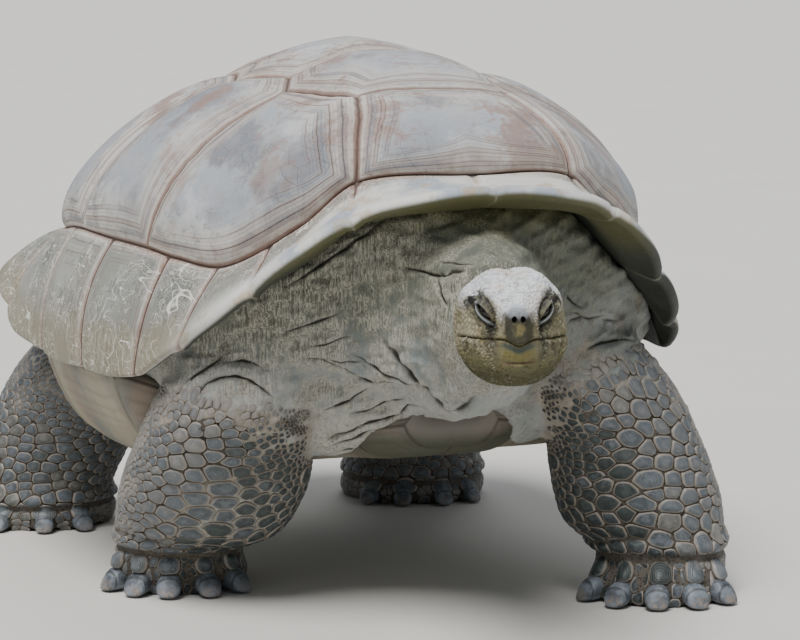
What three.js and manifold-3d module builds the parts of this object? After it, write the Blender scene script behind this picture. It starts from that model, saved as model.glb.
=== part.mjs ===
// A giant tortoise, life size, in a slow walk: shell, torso, neck, head, legs with their claws, and tail.
// Millimetres, +Z up. The animal faces -Y, its left side is +X and its soles stand on z = 0.
import * as THREE from "three";
import Module from "manifold-3d";

const wasm = await Module();
wasm.setup();

// ---------------------------------------------------------------- driving sizes
const GAP = 0.36; // clearance between neighbouring nodes
const DEGREE = Math.PI / 180;

// The dome, measured at the seam that parts it from the marginal plates.
const DOME = {
  front: 497,
  rear: 461,
  side: 373,
  frontSquare: 2.37, // squareness of its plan: 2 is an ellipse, more is boxier
  rearSquare: 2.25,
  squareAt: 110, // the angle from the front at which the rear's squareness holds
  squareOver: 40,
  top: 742,
  topY: -39,
  frontSpread: 1.44, // how the profile leaves the top: sideways, then downwards
  rearSpread: 1.39,
  frontRise: 0.88,
  rearRise: 1.24,
  turnFrom: 0.6, // where round the top the front's profile gives way to the rear's
  turnOver: 1.2,
};
// The free rim of the marginal plates, with its flare over the hind legs and its scalloped edge.
const RIM = { front: 580, rear: 558, side: 420, square: 2.4, scallop: 8 };
const FLARE = { by: 40, at: 120, width: 16 };
const BRIDGE = { from: 52, to: 106, over: 8 }; // the angles between which the rim is joined to the plastron
const WALL = 24; // thickness of the carapace
const UNDERSIDE = {
  lip: [0.9, 15], // how far down a marginal the rim's lip turns in, and how thick it is
  flange: 0.55,
  wall: [0.06, 26],
  dome: [0.86, 0.62, 0.34], // rings of the hollow, in shares of the disc
};
const GROOVE = 3.5; // height of a shell plate over the seam round it
const SEAM_STEPS = 3; // pieces of each marginal's edge
const LAST_MARGINAL = 12; // the middle of the tail plate, in marginals from the front

// Heights round the shell by angle from the front, in degrees: the dome's seam, and the free rim.
const SEAM_HEIGHT = [
  [0, 592], [22, 586], [32, 529], [46, 472], [57, 476], [64, 484], [75, 488], [95, 489], [110, 476],
  [125, 466], [155, 446], [180, 438],
];
const RIM_HEIGHT = [
  [0, 585], [12, 574], [24, 551], [32.5, 507], [40, 459], [46, 414], [52, 376], [60, 330], [67, 317],
  [77, 316], [88, 312], [98, 318], [106, 332], [114, 366], [123, 398], [135, 404], [150, 384], [165, 364],
  [180, 354],
];
const RIM_BULGE = [
  [0, -10], [30, -9], [45, 0], [60, 15], [80, 20], [98, 16], [112, 10], [130, 8], [150, -4], [180, -10],
];
// The seams between marginals, as angles at the dome's seam and at the rim.
const MARGINALS = [
  [0, 0], [22.4, 25], [37.9, 41], [47.7, 53], [58.5, 62], [75.5, 77], [95, 95], [114, 112], [131, 128],
  [145, 143], [158, 157], [170, 169], [180, 180],
];
// Corners of the vertebral plates on the dome's disc, left half, from front to rear.
const VERTEBRAL = {
  firstRear: [0.22, -0.56],
  secondSide: [0.32, -0.3],
  secondRear: [0.285, -0.235],
  thirdSide: [0.41, -0.1],
  thirdRear: [0.33, 0.12],
  fourthSide: [0.345, 0.29],
  fourthRear: [0.22, 0.44],
};
const VERTEBRAL_MIDDLES = [-0.78, -0.4, -0.06, 0.28, 0.72];
const VERTEBRAL_RISE = [9, 12, 9, 11, 9];
const COSTAL_SEAMS = [1, 4 + 1 / 3, 5 + 2 / 3, 7 + 1 / 3, 10]; // marginals at which the costal seams end
const COSTAL_RISE = 15;
const COSTAL_CREST = [0.05, 0.03]; // how far a costal's highest place lies from its middle
// A dome plate's rings: inset, and share of its rise.
const DOME_PLATE = [[0.035, 0], [0.18, 0.5], [0.48, 0.88], [1, 1]];
const MARGINAL_RISE = 3;
const MARGINAL_BEVEL = 0.07;

// Along the plastron: half width, height of the underside, rise of its edge, squareness of the section.
const PLASTRON = [
  [-434, [66, 231, 33, 5]], [-415, [88, 223, 36, 5]], [-370, [122, 212, 34, 6]],
  [-310, [160, 205, 34, 7]], [-272, [205, 199, 50, 8]], [-245, [330, 194, 103, 9]],
  [-215, [384, 189, 127, 10]], [-120, [392, 177, 137, 10]], [0, [395, 168, 142, 10]],
  [120, [392, 165, 151, 10]], [205, [380, 168, 152, 10]], [240, [320, 172, 120, 9]],
  [268, [235, 178, 50, 8]], [320, [212, 186, 34, 7]], [370, [182, 194, 32, 6]],
  [415, [120, 204, 30, 5]], [432, [72, 208, 28, 5]],
];
// Its seams across: the ends of the gular, humeral, pectoral, abdominal, femoral and anal plates.
const PLASTRON_SEAMS = [-434, -372, -262, -196, 150, 305, 432];
const PLASTRON_COLUMNS = [0, 0.45, 0.75, 0.9, 1];
const PLASTRON_STEP = 80;
const PLASTRON_THICK = 27;
const PLASTRON_BEVEL = 5;
const PLASTRON_LEDGE = 12; // the inner face stops short of each end by this much
const CONCAVE = { deep: 6, wide: 160, long: 220, at: 120 }; // the hollow of a male's plastron

// The way the feet point, and across it.
const TOWARD = [-0.36, -0.933, 0];
const ACROSS = [0.933, -0.36, 0];
// Down each leg: centre, half width across, half depth. Then its grid of scales and its claws' angles.
const LEGS = {
  foreleg_left: {
    stations: [
      [0, [174, -296, 388, 34, 34]], [0.05, [178, -302, 378, 70, 68]],
      [0.14, [195, -328, 346, 88, 88]], [0.26, [229, -358, 296, 95, 92]],
      [0.42, [269, -364, 238, 97, 92]], [0.57, [289, -362, 184, 105, 96]],
      [0.71, [306, -363, 130, 107, 96]], [0.83, [325, -372, 84, 94, 88]],
      [0.91, [331, -382, 50, 86, 84]], [0.965, [322, -390, 18, 92, 90]], [1, [320, -391, 0, 86, 84]],
    ],
    columns: 10, rows: 7, from: 0.3, to: 0.89, claws: [-64, -33, -4, 22, 50], claw: 32, cuff: 0.2,
  },
  foreleg_right: {
    stations: [
      [0, [-190, -285, 388, 34, 34]], [0.05, [-196, -288, 378, 74, 70]],
      [0.14, [-217, -300, 346, 97, 90]], [0.26, [-244, -300, 294, 104, 94]],
      [0.42, [-254, -268, 238, 112, 92]], [0.57, [-253, -226, 186, 120, 94]],
      [0.71, [-256, -172, 132, 116, 94]], [0.83, [-267, -122, 84, 97, 88]],
      [0.91, [-272, -98, 50, 86, 84]], [0.965, [-264, -84, 18, 89, 90]], [1, [-263, -83, 0, 83, 84]],
    ],
    columns: 10, rows: 7, from: 0.3, to: 0.89, claws: [-58, -29, -4, 23, 51], claw: 32, cuff: 0.2,
  },
  hindleg_left: {
    stations: [
      [0, [205, 255, 340, 60, 60]], [0.1, [215, 280, 315, 92, 86]],
      [0.25, [238, 318, 262, 108, 100]], [0.45, [260, 368, 196, 108, 100]],
      [0.65, [272, 402, 128, 105, 98]], [0.82, [277, 416, 68, 104, 94]],
      [0.95, [277, 422, 16, 114, 100]], [1, [277, 423, 0, 108, 94]],
    ],
    columns: 8, rows: 4, from: 0.5, to: 0.9, claws: [-30, -5, 21, 46], claw: 27,
  },
  hindleg_right: {
    stations: [
      [0, [-205, 255, 340, 60, 60]], [0.1, [-220, 280, 315, 92, 86]],
      [0.25, [-250, 318, 262, 108, 100]], [0.45, [-290, 370, 196, 106, 100]],
      [0.65, [-315, 402, 128, 103, 98]], [0.82, [-330, 416, 68, 100, 94]],
      [0.95, [-334, 424, 16, 110, 100]], [1, [-334, 425, 0, 104, 94]],
    ],
    columns: 8, rows: 4, from: 0.5, to: 0.9, claws: [-52, -24, 6, 34], claw: 27,
  },
};
const LEG_SQUARE = 0.9; // under 1 a leg's section is a little boxy
const LEVEL = { from: 0.72, over: 0.2, least: 0.6 }; // below this share a leg's rings lie level
const LEG_PLATE = [[0.2, 4.5], [1, 6.5]]; // a scale's inset and height, then its middle's
const LEG_PLATE_ROOM = 9;
// The scales' rows zigzag, their corners a little at random.
const ZIGZAG = { by: 0.17, loose: 0.12, endLoose: 0.06, sideways: 0.3 };
const ROOT_SHARES = [[1, 1], [0.66, 1], [0.3, 2], [0, 2]]; // rings of a leg's top, and each one's step
const ROOT_END = 0.045; // the plain top stops this share of the length over the scales
const ROOM_SHARES = [0.7, 0.45, 0.2]; // rings of the room kept for a leg, from the lowest
const ROOM_END = 0.036;
// Rings of the foot: shares of the length, or places below the scales.
const SOLE_RINGS = [[1, 0], [0.96, 0], [0, 0.05], [0, 0.03]];
const TOE = { rise: 4, width: 0.16, from: 0.86, over: 0.08 };
const ANKLE = { deep: 5, below: 0.025, width: 0.018 };
const CUFF = [[0, 16], [0.5, 14], [1, 5]]; // the skin's thickness over a leg's root, down to its hem
const CUFF_TOP = 0.02;
// A claw, in shares of its length: way out, half width, half height.
const NAIL = [[-0.1, 0.5, 0.46], [0.3, 0.58, 0.52], [0.62, 0.5, 0.42], [0.84, 0.22, 0.2]];
const NAIL_SIDES = 7;
const NAIL_ROOT = { at: 0.955, sunk: 6 }; // where on the foot a claw grows, and how far inside the skin
const NAIL_REST = { over: 1.5, sag: 0.86, slope: 0.16, flat: 0.8 }; // how it lies near the ground

// Chest and rump over the plastron: height, half width, reach to the front and rear, squareness.
const CHEST = [
  [203, 194, -334, 300, 2.6], [216, 236, -386, 385, 3.1], [236, 250, -404, 425, 3.1],
  [262, 256, -424, 440, 2.9], [300, 262, -440, 462, 2.7], [370, 290, -452, 470, 2.6],
  [450, 315, -462, 450, 2.6], [530, 280, -466, 400, 2.6],
];
const BELLY = [[182, 330, -210, 225, 2.6], [240, 378, -224, 238, 2.6], [340, 384, -230, 244, 2.6]];
// How far down the marginals' inner face the flesh reaches, by marginals from the front.
const FLESH_REACH = [[0, 0.42], [2, 0.4], [3.4, 0.6], [4.5, 0.8], [6, 0.85], [7.5, 0.5], [12, 0.45]];
const FLESH_FLOOR = 290;
const FLESH_CLEAR = 7; // hidden room between the flesh and the dome
const FLESH_DOME = [0.4, 0.72, 0.93]; // rings of the flesh under the dome, in shares of the disc
const FLESH_IN = { under: 0.93, drop: 0.75, floor: 0.7 }; // how it draws in below the marginals
const UNDER_ROOM = { side: 8, top: 12 }; // the room kept under the plastron, inside its edge
const TORSO_SPLIT = 20; // where the front and rear of the torso part

// Along the neck: middle, half width and half height; and the skin's collar at its root, in the same terms.
const NECK = [
  [0, [0, -330, 400, 118, 132]], [0.3, [2, -440, 410, 112, 134]], [0.52, [1, -520, 414, 99, 120]],
  [0.72, [-8, -590, 420, 84, 98]], [0.88, [-22, -645, 426, 71, 78]], [1, [-28, -676, 430, 60, 64]],
];
const COLLAR = [
  [0, [0, -380, 414, 196, 150]], [0.4, [0, -446, 413, 158, 142]], [0.75, [0, -490, 411, 126, 134]],
  [1, [0, -526, 411, 103, 122]],
];
const POUCH = { sag: 26, at: 4.3, width: 0.5, along: 0.7, length: 0.22 };
const NAPE = { rise: 10, width: 0.22, along: 0.55, length: 0.25 };
// Along the tail: middle, half width and half height.
const TAIL = [
  [0, 350, 285, 62, 50], [0, 430, 262, 50, 42], [-6, 490, 232, 38, 32], [-20, 530, 196, 26, 22],
  [-38, 548, 164, 14, 12],
];
const TAIL_LEAN = 0.22;
const TAIL_SIDES = 12;

const HEAD = { centre: [-35, -711, 428], yaw: 17.5, pitch: 5 };
// Along the head: half width at the brow and at the jaw, top, bottom, squareness.
const SKULL = [
  [-88, [48, 50, 46, -50, 1]], [-62, [60, 62, 60, -62, 1]], [-30, [66, 67, 68, -69, 0.92]],
  [0, [66, 68, 70, -70, 0.86]], [20, [60, 66, 69, -69, 0.82]], [36, [50, 61, 63, -67, 0.8]],
  [50, [40, 54, 55, -64, 0.82]], [64, [32, 47, 49, -59, 0.84]], [78, [27, 40, 43, -52, 0.84]],
  [90, [22, 31, 34, -42, 0.86]], [98, [12, 18, 20, -28, 0.9]],
];
const SKULL_STATIONS = [-88, -72, -52, -28, -5, 12, 26, 38, 49, 60, 71, 82, 91, 98];
const SKULL_SIDES = 24;
const JAW = { to: -0.45, over: 0.9 }; // the levels at which the jaw's width gives way to the brow's
const BROW = { rise: 5, sides: [1.02, 2.12], width: 0.3, at: 22, length: 26 };
const CROWN = { dip: 5, width: 0.22, at: 5, length: 45 };
const EYE = { side: 30, forward: 42, up: 25, radius: 13, slit: 31, sides: 10, rings: 6 };
// The upper and the lower lid: rise of its arch and thickness. Then how both lie on the eye's ball.
const LIDS = [[8.5, 4.6], [-8.5, 3.8]];
const LID = { outward: [0.7, 0.7, 0.12], toNose: [-0.55, 0.6, -0.55], over: 1.5, flat: 0.45, ends: 0.45 };
const MOUTH = { up: -9, corner: 8, front: 96, lip: 4.5, line: 2.2, beak: 7, lineOut: 3, lineCorner: 2 };
const MOUTH_WAVE = [[3, 60, 22], [-3, 30, 18]]; // rises of the mouth's line: by how much, where, how wide
const NOSTRIL = { side: 5.3, up: 23, from: 104, to: 87, radius: 3.4 };

// ---------------------------------------------------------------- small tools
const clamp = (x, low, high) => Math.min(high, Math.max(low, x));
const mix = (a, b, t) => a + (b - a) * t;
const lerp = (a, b, t) => a.map((x, i) => mix(x, b[i], t));
const add = (a, b, k = 1) => a.map((x, i) => x + k * b[i]);
const dot = (a, b) => a.reduce((sum, x, i) => sum + x * b[i], 0);
const cross = (a, b) => [a[1] * b[2] - a[2] * b[1], a[2] * b[0] - a[0] * b[2], a[0] * b[1] - a[1] * b[0]];
const unit = (a) => a.map((x) => x / (Math.hypot(...a) || 1));
const bell = (x, width) => Math.exp(-((x / width) ** 2));
const power = (x, p) => Math.sign(x) * Math.abs(x) ** p;
const count = (n) => [...Array(n).keys()];
const turn = (k, n) => (2 * Math.PI * k) / n;
const mean = (points) => points.reduce((sum, p) => add(sum, p, 1 / points.length), points[0].map(() => 0));
const near = (a, b) => Math.hypot(...add(a, b, -1)) < 1e-6;

function smooth(x) {
  const t = clamp(x, 0, 1);
  return t * t * (3 - 2 * t);
}

// A fixed jitter between -0.5 and 0.5 for whole numbers a, b and c.
function jitter(a, b, c) {
  const s = Math.sin(4.7 + a * 12.9898 + b * 78.233 + c * 37.719) * 43758.5453;
  return s - Math.floor(s) - 0.5;
}

// A smooth curve through keyed values, each a number or a list.
function keyed(table, at) {
  let i = 0;
  while (i < table.length - 2 && at > table[i + 1][0]) i++;
  const [[start, from], [end, to]] = [table[i], table[i + 1]];
  const span = end - start;
  const t = clamp((at - start) / span, 0, 1);
  const [earlier, before] = table[Math.max(0, i - 1)];
  const [later, after] = table[Math.min(table.length - 1, i + 2)];
  const value = (a, b, p, q) => {
    const left = i > 0 ? ((b - p) / (end - earlier)) * span : b - a;
    const right = i < table.length - 2 ? ((q - a) / (later - start)) * span : b - a;
    const rest = 1 - t;
    return rest * rest * ((1 + 2 * t) * a + t * left) + t * t * ((3 - 2 * t) * b - rest * right);
  };
  if (!Array.isArray(from)) return value(from, to, before, after);
  return from.map((a, k) => value(a, to[k], before[k], after[k]));
}

// A closed faceted surface under construction: vertices are shared by place.
class Surface {
  constructor() {
    this.points = [];
    this.faces = [];
    this.found = new Map();
  }
  vertex(p) {
    const key = p.map((c) => Math.round(c * 500)).join(",");
    if (!this.found.has(key)) {
      this.found.set(key, this.points.length);
      this.points.push(p);
    }
    return this.found.get(key);
  }
  triangle(a, b, c) {
    const [i, j, k] = [a, b, c].map((p) => this.vertex(p));
    if (i !== j && j !== k && k !== i) this.faces.push([i, j, k]);
  }
  quad(a, b, c, d) {
    this.triangle(a, b, c);
    this.triangle(a, c, d);
  }
  // Joins two closed rings of as many points each.
  band(outer, inner) {
    const n = outer.length;
    for (let i = 0; i < n; i++) this.quad(outer[i], outer[(i + 1) % n], inner[(i + 1) % n], inner[i]);
  }
  bands(rings) {
    rings.slice(1).forEach((ring, i) => this.band(rings[i], ring));
  }
  fan(ring, centre) {
    ring.forEach((p, i) => this.triangle(p, ring[(i + 1) % ring.length], centre));
  }
  // Joins a closed ring to one with half as many points.
  halve(outer, inner) {
    inner.forEach((p, i) => {
      const [a, b, c] = [0, 1, 2].map((k) => outer[(2 * i + k) % outer.length]);
      const next = inner[(i + 1) % inner.length];
      this.triangle(a, b, p);
      this.triangle(b, next, p);
      this.triangle(b, c, next);
    });
  }
  // Turns the faces from start on, if they run the other way round than the ones before them.
  agree(start) {
    const edges = (faces) => faces.flatMap((f) => f.map((a, i) => a + ">" + f[(i + 1) % 3]));
    const before = new Set(edges(this.faces.slice(0, start)));
    const clash = edges(this.faces.slice(start)).some((e) => before.has(e));
    if (clash) this.faces.slice(start).forEach((f) => f.reverse());
  }
  // One raised plate: a seam loop on the base surface, then rings [inset, height] that climb to the centre.
  plate(base, seam, centre, rings, inOrder = false) {
    const middle = base(centre, 0);
    const out = add(base(centre, 5), middle, -1);
    const edge = seam.map((q) => add(base(q, 0), middle, -1));
    const facing = edge.reduce((sum, p, i) => add(sum, cross(p, edge[(i + 1) % edge.length])), [0, 0, 0]);
    const loop = inOrder || dot(facing, out) > 0 ? seam : [...seam].reverse();
    let outer = loop.map((q) => base(q, 0));
    for (const [inset, height] of rings) {
      if (inset === 1) {
        this.fan(outer, base(centre, height));
      } else {
        const inner = loop.map((q) => base(lerp(q, centre, inset), height));
        this.band(outer, inner);
        outer = inner;
      }
    }
  }
  solid() {
    const made = (faces) => {
      const vertProperties = new Float32Array(this.points.flat());
      const triVerts = new Uint32Array(faces.flat());
      return new wasm.Manifold(new wasm.Mesh({ numProp: 3, vertProperties, triVerts }));
    };
    const solid = made(this.faces);
    return solid.volume() >= 0 ? solid : made(this.faces.map(([a, b, c]) => [a, c, b]));
  }
}

function corners(mesh) {
  const { numProp, numVert, vertProperties } = mesh;
  return count(numVert).map((i) => [...vertProperties.subarray(i * numProp, i * numProp + 3)]);
}

// The same solid with every vertex moved out along its normal.
function grown(solid, by = GAP) {
  const mesh = solid.getMesh();
  const places = corners(mesh);
  const normals = places.map(() => [0, 0, 0]);
  for (let t = 0; t < mesh.triVerts.length; t += 3) {
    const ids = [0, 1, 2].map((k) => mesh.triVerts[t + k]);
    const [a, b, c] = ids.map((i) => places[i]);
    const face = unit(cross(add(b, a, -1), add(c, a, -1)));
    ids.forEach((i, k) => {
      const [left, right] = [1, 2].map((s) => unit(add(places[ids[(k + s) % 3]], places[i], -1)));
      normals[i] = add(normals[i], face, Math.acos(clamp(dot(left, right), -1, 1)));
    });
  }
  const vertProperties = new Float32Array(places.flatMap((p, i) => add(p, unit(normals[i]), by)));
  return new wasm.Manifold(new wasm.Mesh({ numProp: 3, vertProperties, triVerts: mesh.triVerts }));
}

const without = (solid, ...others) => others.reduce((rest, other) => rest.subtract(grown(other)), solid);
// The largest body of a solid, with flat neighbouring faces merged.
function largest(solid, loose) {
  const bodies = solid.simplify(loose).decompose();
  return bodies.sort((a, b) => b.volume() - a.volume())[0];
}

// A lofted solid: rings of points joined end to end, with closed ends.
function loft(rings) {
  const s = new Surface();
  s.bands(rings);
  s.fan(rings.at(-1), mean(rings.at(-1)));
  s.fan([...rings[0]].reverse(), mean(rings[0]));
  return s.solid();
}

function boxSolid([x0, y0, z0], [x1, y1, z1]) {
  const ring = (z) => [[x0, y0, z], [x1, y0, z], [x1, y1, z], [x0, y1, z]];
  return loft([ring(z0), ring(z1)]);
}

// ---------------------------------------------------------------- carapace
// A point of a squared oval, at an angle from the front toward the right side.
function planCurve(angle, front, rear, side, square) {
  const s = Math.sin(angle);
  const c = Math.cos(angle);
  const reach = (Math.abs(s) ** square + Math.abs(c) ** square) ** (-1 / square);
  return [-side * s * reach, -(c > 0 ? front : rear) * c * reach];
}
const degreesOff = (angle) => Math.abs(Math.atan2(Math.sin(angle), Math.cos(angle))) / DEGREE;

function seamPoint(angle) {
  const off = degreesOff(angle);
  const square = mix(DOME.rearSquare, DOME.frontSquare, smooth((DOME.squareAt - off) / DOME.squareOver));
  return [...planCurve(angle, DOME.front, DOME.rear, DOME.side, square), keyed(SEAM_HEIGHT, off)];
}

function rimPoint(angle, scallop = 0) {
  const off = degreesOff(angle);
  const place = planCurve(angle, RIM.front, RIM.rear, RIM.side, RIM.square);
  const by = FLARE.by * bell(off - FLARE.at, FLARE.width) + scallop;
  return [...add(place, unit(place), by), keyed(RIM_HEIGHT, off)];
}

// The dome over a unit disc: its edge is the seam, its middle the top.
function domePoint([u, v]) {
  const t = Math.min(1, Math.hypot(u, v));
  const edge = seamPoint(Math.atan2(-u, -v));
  const forward = t > 0 ? smooth((DOME.turnFrom - v / t) / DOME.turnOver) : 0.5;
  const slope = (t * Math.PI) / 2;
  const across = Math.sin(slope) ** mix(DOME.rearSpread, DOME.frontSpread, forward);
  const up = Math.max(0, Math.cos(slope)) ** mix(DOME.rearRise, DOME.frontRise, forward);
  return [edge[0] * across, mix(DOME.topY, edge[1], across), mix(edge[2], DOME.top, up)];
}

// Marginals are counted from the front, right side positive, and meet again behind the tail.
const wrap = (m) => m - 2 * LAST_MARGINAL * Math.round(m / (2 * LAST_MARGINAL + 1e-9));
function marginalAngle(m, end) {
  const at = wrap(m);
  const i = Math.min(LAST_MARGINAL - 1, Math.floor(Math.abs(at)));
  return DEGREE * Math.sign(at) * mix(MARGINALS[i][end], MARGINALS[i + 1][end], Math.abs(at) - i);
}

// The marginals' outer face: m along the rim, w from the dome's seam at 0 to the free edge at 1.
function marginalPoint([m, w]) {
  const at = wrap(m);
  const top = seamPoint(marginalAngle(at, 0));
  const angle = marginalAngle(at, 1);
  const off = degreesOff(angle);
  const share = Math.abs(at) % 1;
  const joined = smooth((off - BRIDGE.from) / BRIDGE.over) * smooth((BRIDGE.to - off) / BRIDGE.over);
  const lobe = Math.abs(at) > LAST_MARGINAL - 1 ? 0.5 : 4 * share * (1 - share);
  const edge = rimPoint(angle, RIM.scallop * (1 - joined) * lobe * w);
  const across = add(edge, top, -1);
  const out = unit([top[0], top[1], 0]);
  const up = unit(add([0, 0, Math.max(10, dot(across, out))], out, Math.max(10, -across[2])));
  return add(lerp(top, edge, w), up, keyed(RIM_BULGE, off) * 4 * w * (1 - w));
}

// A surface as a function of place and height over it.
function raised(point, step) {
  return (q, height) => {
    const p = point(q);
    if (!height) return p;
    const [du, dv] = [[step, 0], [0, step]].map((d) => add(point(add(q, d)), point(add(q, d, -1)), -1));
    const normal = unit(cross(du, dv));
    const outward = dot(normal, [p[0], p[1] - DOME.topY, 160]) < 0 ? -1 : 1;
    return add(p, normal, outward * height);
  };
}
const onDome = raised(domePoint, 0.004);
const onMarginal = raised(marginalPoint, 0.01);

const flip = ([u, v]) => [-u, v];
const disc = (m) => [-Math.sin(marginalAngle(m, 0)), -Math.cos(marginalAngle(m, 0))];
const steps = (a, b, n) => count(n).map((i) => lerp(a, b, i / n));
const arc = (from, to) => {
  const n = Math.round((to - from) * SEAM_STEPS);
  return count(n).map((i) => disc(mix(from, to, i / n)));
};
const boss = (rise) => DOME_PLATE.map(([inset, share]) => [inset, GROOVE + rise * share]);

// The five plates along the back: each is drawn down its right side, then mirrored.
function vertebralPlates(s) {
  const v = Object.fromEntries(Object.entries(VERTEBRAL).map(([name, q]) => [name, flip(q)]));
  const rights = [
    [...arc(0, 1), ...steps(disc(1), v.firstRear, 3), v.firstRear],
    [...steps(v.firstRear, v.secondSide, 2), ...steps(v.secondSide, v.secondRear, 2), v.secondRear],
    [...steps(v.secondRear, v.thirdSide, 2), ...steps(v.thirdSide, v.thirdRear, 2), v.thirdRear],
    [...steps(v.thirdRear, v.fourthSide, 2), ...steps(v.fourthSide, v.fourthRear, 2), v.fourthRear],
    [...steps(v.fourthRear, disc(10), 3), ...arc(10, 12), disc(12)],
  ];
  rights.forEach((right, i) => {
    const loop = [...right];
    const rear = right.at(-1);
    const front = right[0];
    if (i < 4) loop.push(...steps(rear, flip(rear), 4).slice(1));
    loop.push(...right.map(flip).reverse().filter((p) => !loop.some((q) => near(p, q))));
    if (i > 0) loop.push(...steps(flip(front), front, 4).slice(1));
    s.plate(onDome, loop, [0, VERTEBRAL_MIDDLES[i]], boss(VERTEBRAL_RISE[i]));
  });
}

// The four plates down each side, between the vertebral plates and the marginals.
function costalPlates(s) {
  const v = Object.fromEntries(Object.entries(VERTEBRAL).map(([name, q]) => [name, flip(q)]));
  const inner = [
    [v.firstRear, v.secondSide],
    [v.secondSide, v.secondRear, v.thirdSide],
    [v.thirdSide, v.thirdRear, v.fourthSide],
    [v.fourthSide, v.fourthRear],
  ];
  inner.forEach((edge, i) => {
    const [from, to] = [COSTAL_SEAMS[i], COSTAL_SEAMS[i + 1]];
    const loop = [...arc(from, to), ...steps(disc(to), edge.at(-1), i === 3 ? 3 : 4)];
    for (let k = edge.length - 1; k > 0; k--) loop.push(...steps(edge[k], edge[k - 1], 2));
    loop.push(...steps(edge[0], disc(from), i === 0 ? 3 : 4));
    const centre = add(mean(loop), COSTAL_CREST);
    s.plate(onDome, loop, centre, boss(COSTAL_RISE));
    s.plate(onDome, loop.map(flip).reverse(), flip(centre), boss(COSTAL_RISE));
  });
}

// Eleven pairs of plates round the rim, and a broad one over the tail.
function marginalPlates(s) {
  const plate = (from, to) => {
    const n = Math.round((to - from) * SEAM_STEPS);
    const along = count(n + 1).map((i) => mix(from, to, i / n));
    const loop = along.map((m) => [m, 0]);
    loop.push([to, 0.5]);
    loop.push(...along.map((m) => [m, 1]).reverse());
    loop.push([from, 0.5]);
    const rings = [[MARGINAL_BEVEL, GROOVE], [1, GROOVE + MARGINAL_RISE]];
    s.plate(onMarginal, loop, [(from + to) / 2, 0.5], rings);
  };
  for (let i = 0; i < LAST_MARGINAL - 1; i++) {
    plate(i, i + 1);
    plate(-i - 1, -i);
  }
  plate(LAST_MARGINAL - 1, LAST_MARGINAL + 1);
}

// The rim's lip, the flange under the marginals and the hollow that holds the body.
function carapaceUnderside(s) {
  const all = count(2 * LAST_MARGINAL * SEAM_STEPS).map((i) => wrap(i / SEAM_STEPS - LAST_MARGINAL));
  const every = all.filter((_, i) => i % 2 === 0);
  const [lipAt, lipThick] = UNDERSIDE.lip;
  const [wallAt, wallThick] = UNDERSIDE.wall;
  const lip = all.map((m) => {
    const [x, y, z] = onMarginal([m, lipAt], -lipThick);
    return [x, y, Math.min(z, rimPoint(marginalAngle(m, 1))[2] - 1)];
  });
  const flange = every.map((m) => onMarginal([m, UNDERSIDE.flange], -WALL));
  const wall = every.map((m) => onMarginal([m, wallAt], -wallThick));
  const dome = UNDERSIDE.dome.map((t) => every.map((m) => onDome(disc(m).map((c) => c * t), -WALL)));
  s.band(all.map((m) => marginalPoint([m, 1])), lip);
  s.halve(lip, flange);
  s.bands([flange, wall, ...dome]);
  s.fan(dome[2], onDome([0, 0.001], -WALL));
}

function carapaceSolid() {
  const s = new Surface();
  vertebralPlates(s);
  costalPlates(s);
  marginalPlates(s);
  const start = s.faces.length;
  carapaceUnderside(s);
  s.agree(start);
  return s.solid();
}

// ---------------------------------------------------------------- plastron
// A point of the underside: share of the half width, and place along the body.
function onPlastron([share, y], height) {
  const [half, low, edge, square] = keyed(PLASTRON, y);
  const hollow = CONCAVE.deep * bell(share * half, CONCAVE.wide) * bell(y - CONCAVE.at, CONCAVE.long);
  const p = [share * half, y, low + edge * Math.abs(share) ** square + hollow];
  const lift = smooth((Math.abs(share) - 0.7) / 0.3);
  return height ? add(p, unit([Math.sign(share) * lift, 0, lift - 1.001]), height) : p;
}
function insidePlastron(share, y) {
  const [half, low, edge, square] = keyed(PLASTRON, y);
  const rise = Math.max(3, edge - PLASTRON_THICK) * Math.abs(share) ** square;
  const end = Math.abs(PLASTRON[0][0]) - PLASTRON_LEDGE;
  return [share * (half - PLASTRON_THICK + 1), clamp(y, -end, end), low + PLASTRON_THICK + rise];
}
function plastronStations(from, to) {
  const n = Math.max(2, Math.round((to - from) / PLASTRON_STEP));
  return count(n + 1).map((i) => mix(from, to, i / n));
}

// One plate of the underside, as a grid inside a bevel that dips to the seam round it.
function plastronPlate(s, ys, side) {
  const last = PLASTRON_COLUMNS.length - 1;
  const end = ys.length - 1;
  const seam = ys.map((y) => PLASTRON_COLUMNS.map((c) => onPlastron([side * c, y], 0)));
  const top = ys.map((y, b) => PLASTRON_COLUMNS.map((c, a) => {
    const share = PLASTRON_BEVEL / keyed(PLASTRON, y)[0];
    const inward = (a === 0 ? share : 0) - (a === last ? share : 0);
    const along = (b === 0 ? PLASTRON_BEVEL : 0) - (b === end ? PLASTRON_BEVEL : 0);
    return onPlastron([side * (c + inward), y + along], GROOVE);
  }));
  const face = (...quad) => s.quad(...(side > 0 ? quad.reverse() : quad));
  for (let a = 0; a < last; a++) {
    for (let b = 0; b < end; b++) face(top[b][a], top[b][a + 1], top[b + 1][a + 1], top[b + 1][a]);
    face(seam[0][a], seam[0][a + 1], top[0][a + 1], top[0][a]);
    face(top[end][a], top[end][a + 1], seam[end][a + 1], seam[end][a]);
  }
  for (let b = 0; b < end; b++) {
    face(seam[b][0], top[b][0], top[b + 1][0], seam[b + 1][0]);
    face(top[b][last], seam[b][last], seam[b + 1][last], top[b + 1][last]);
  }
}

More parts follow.
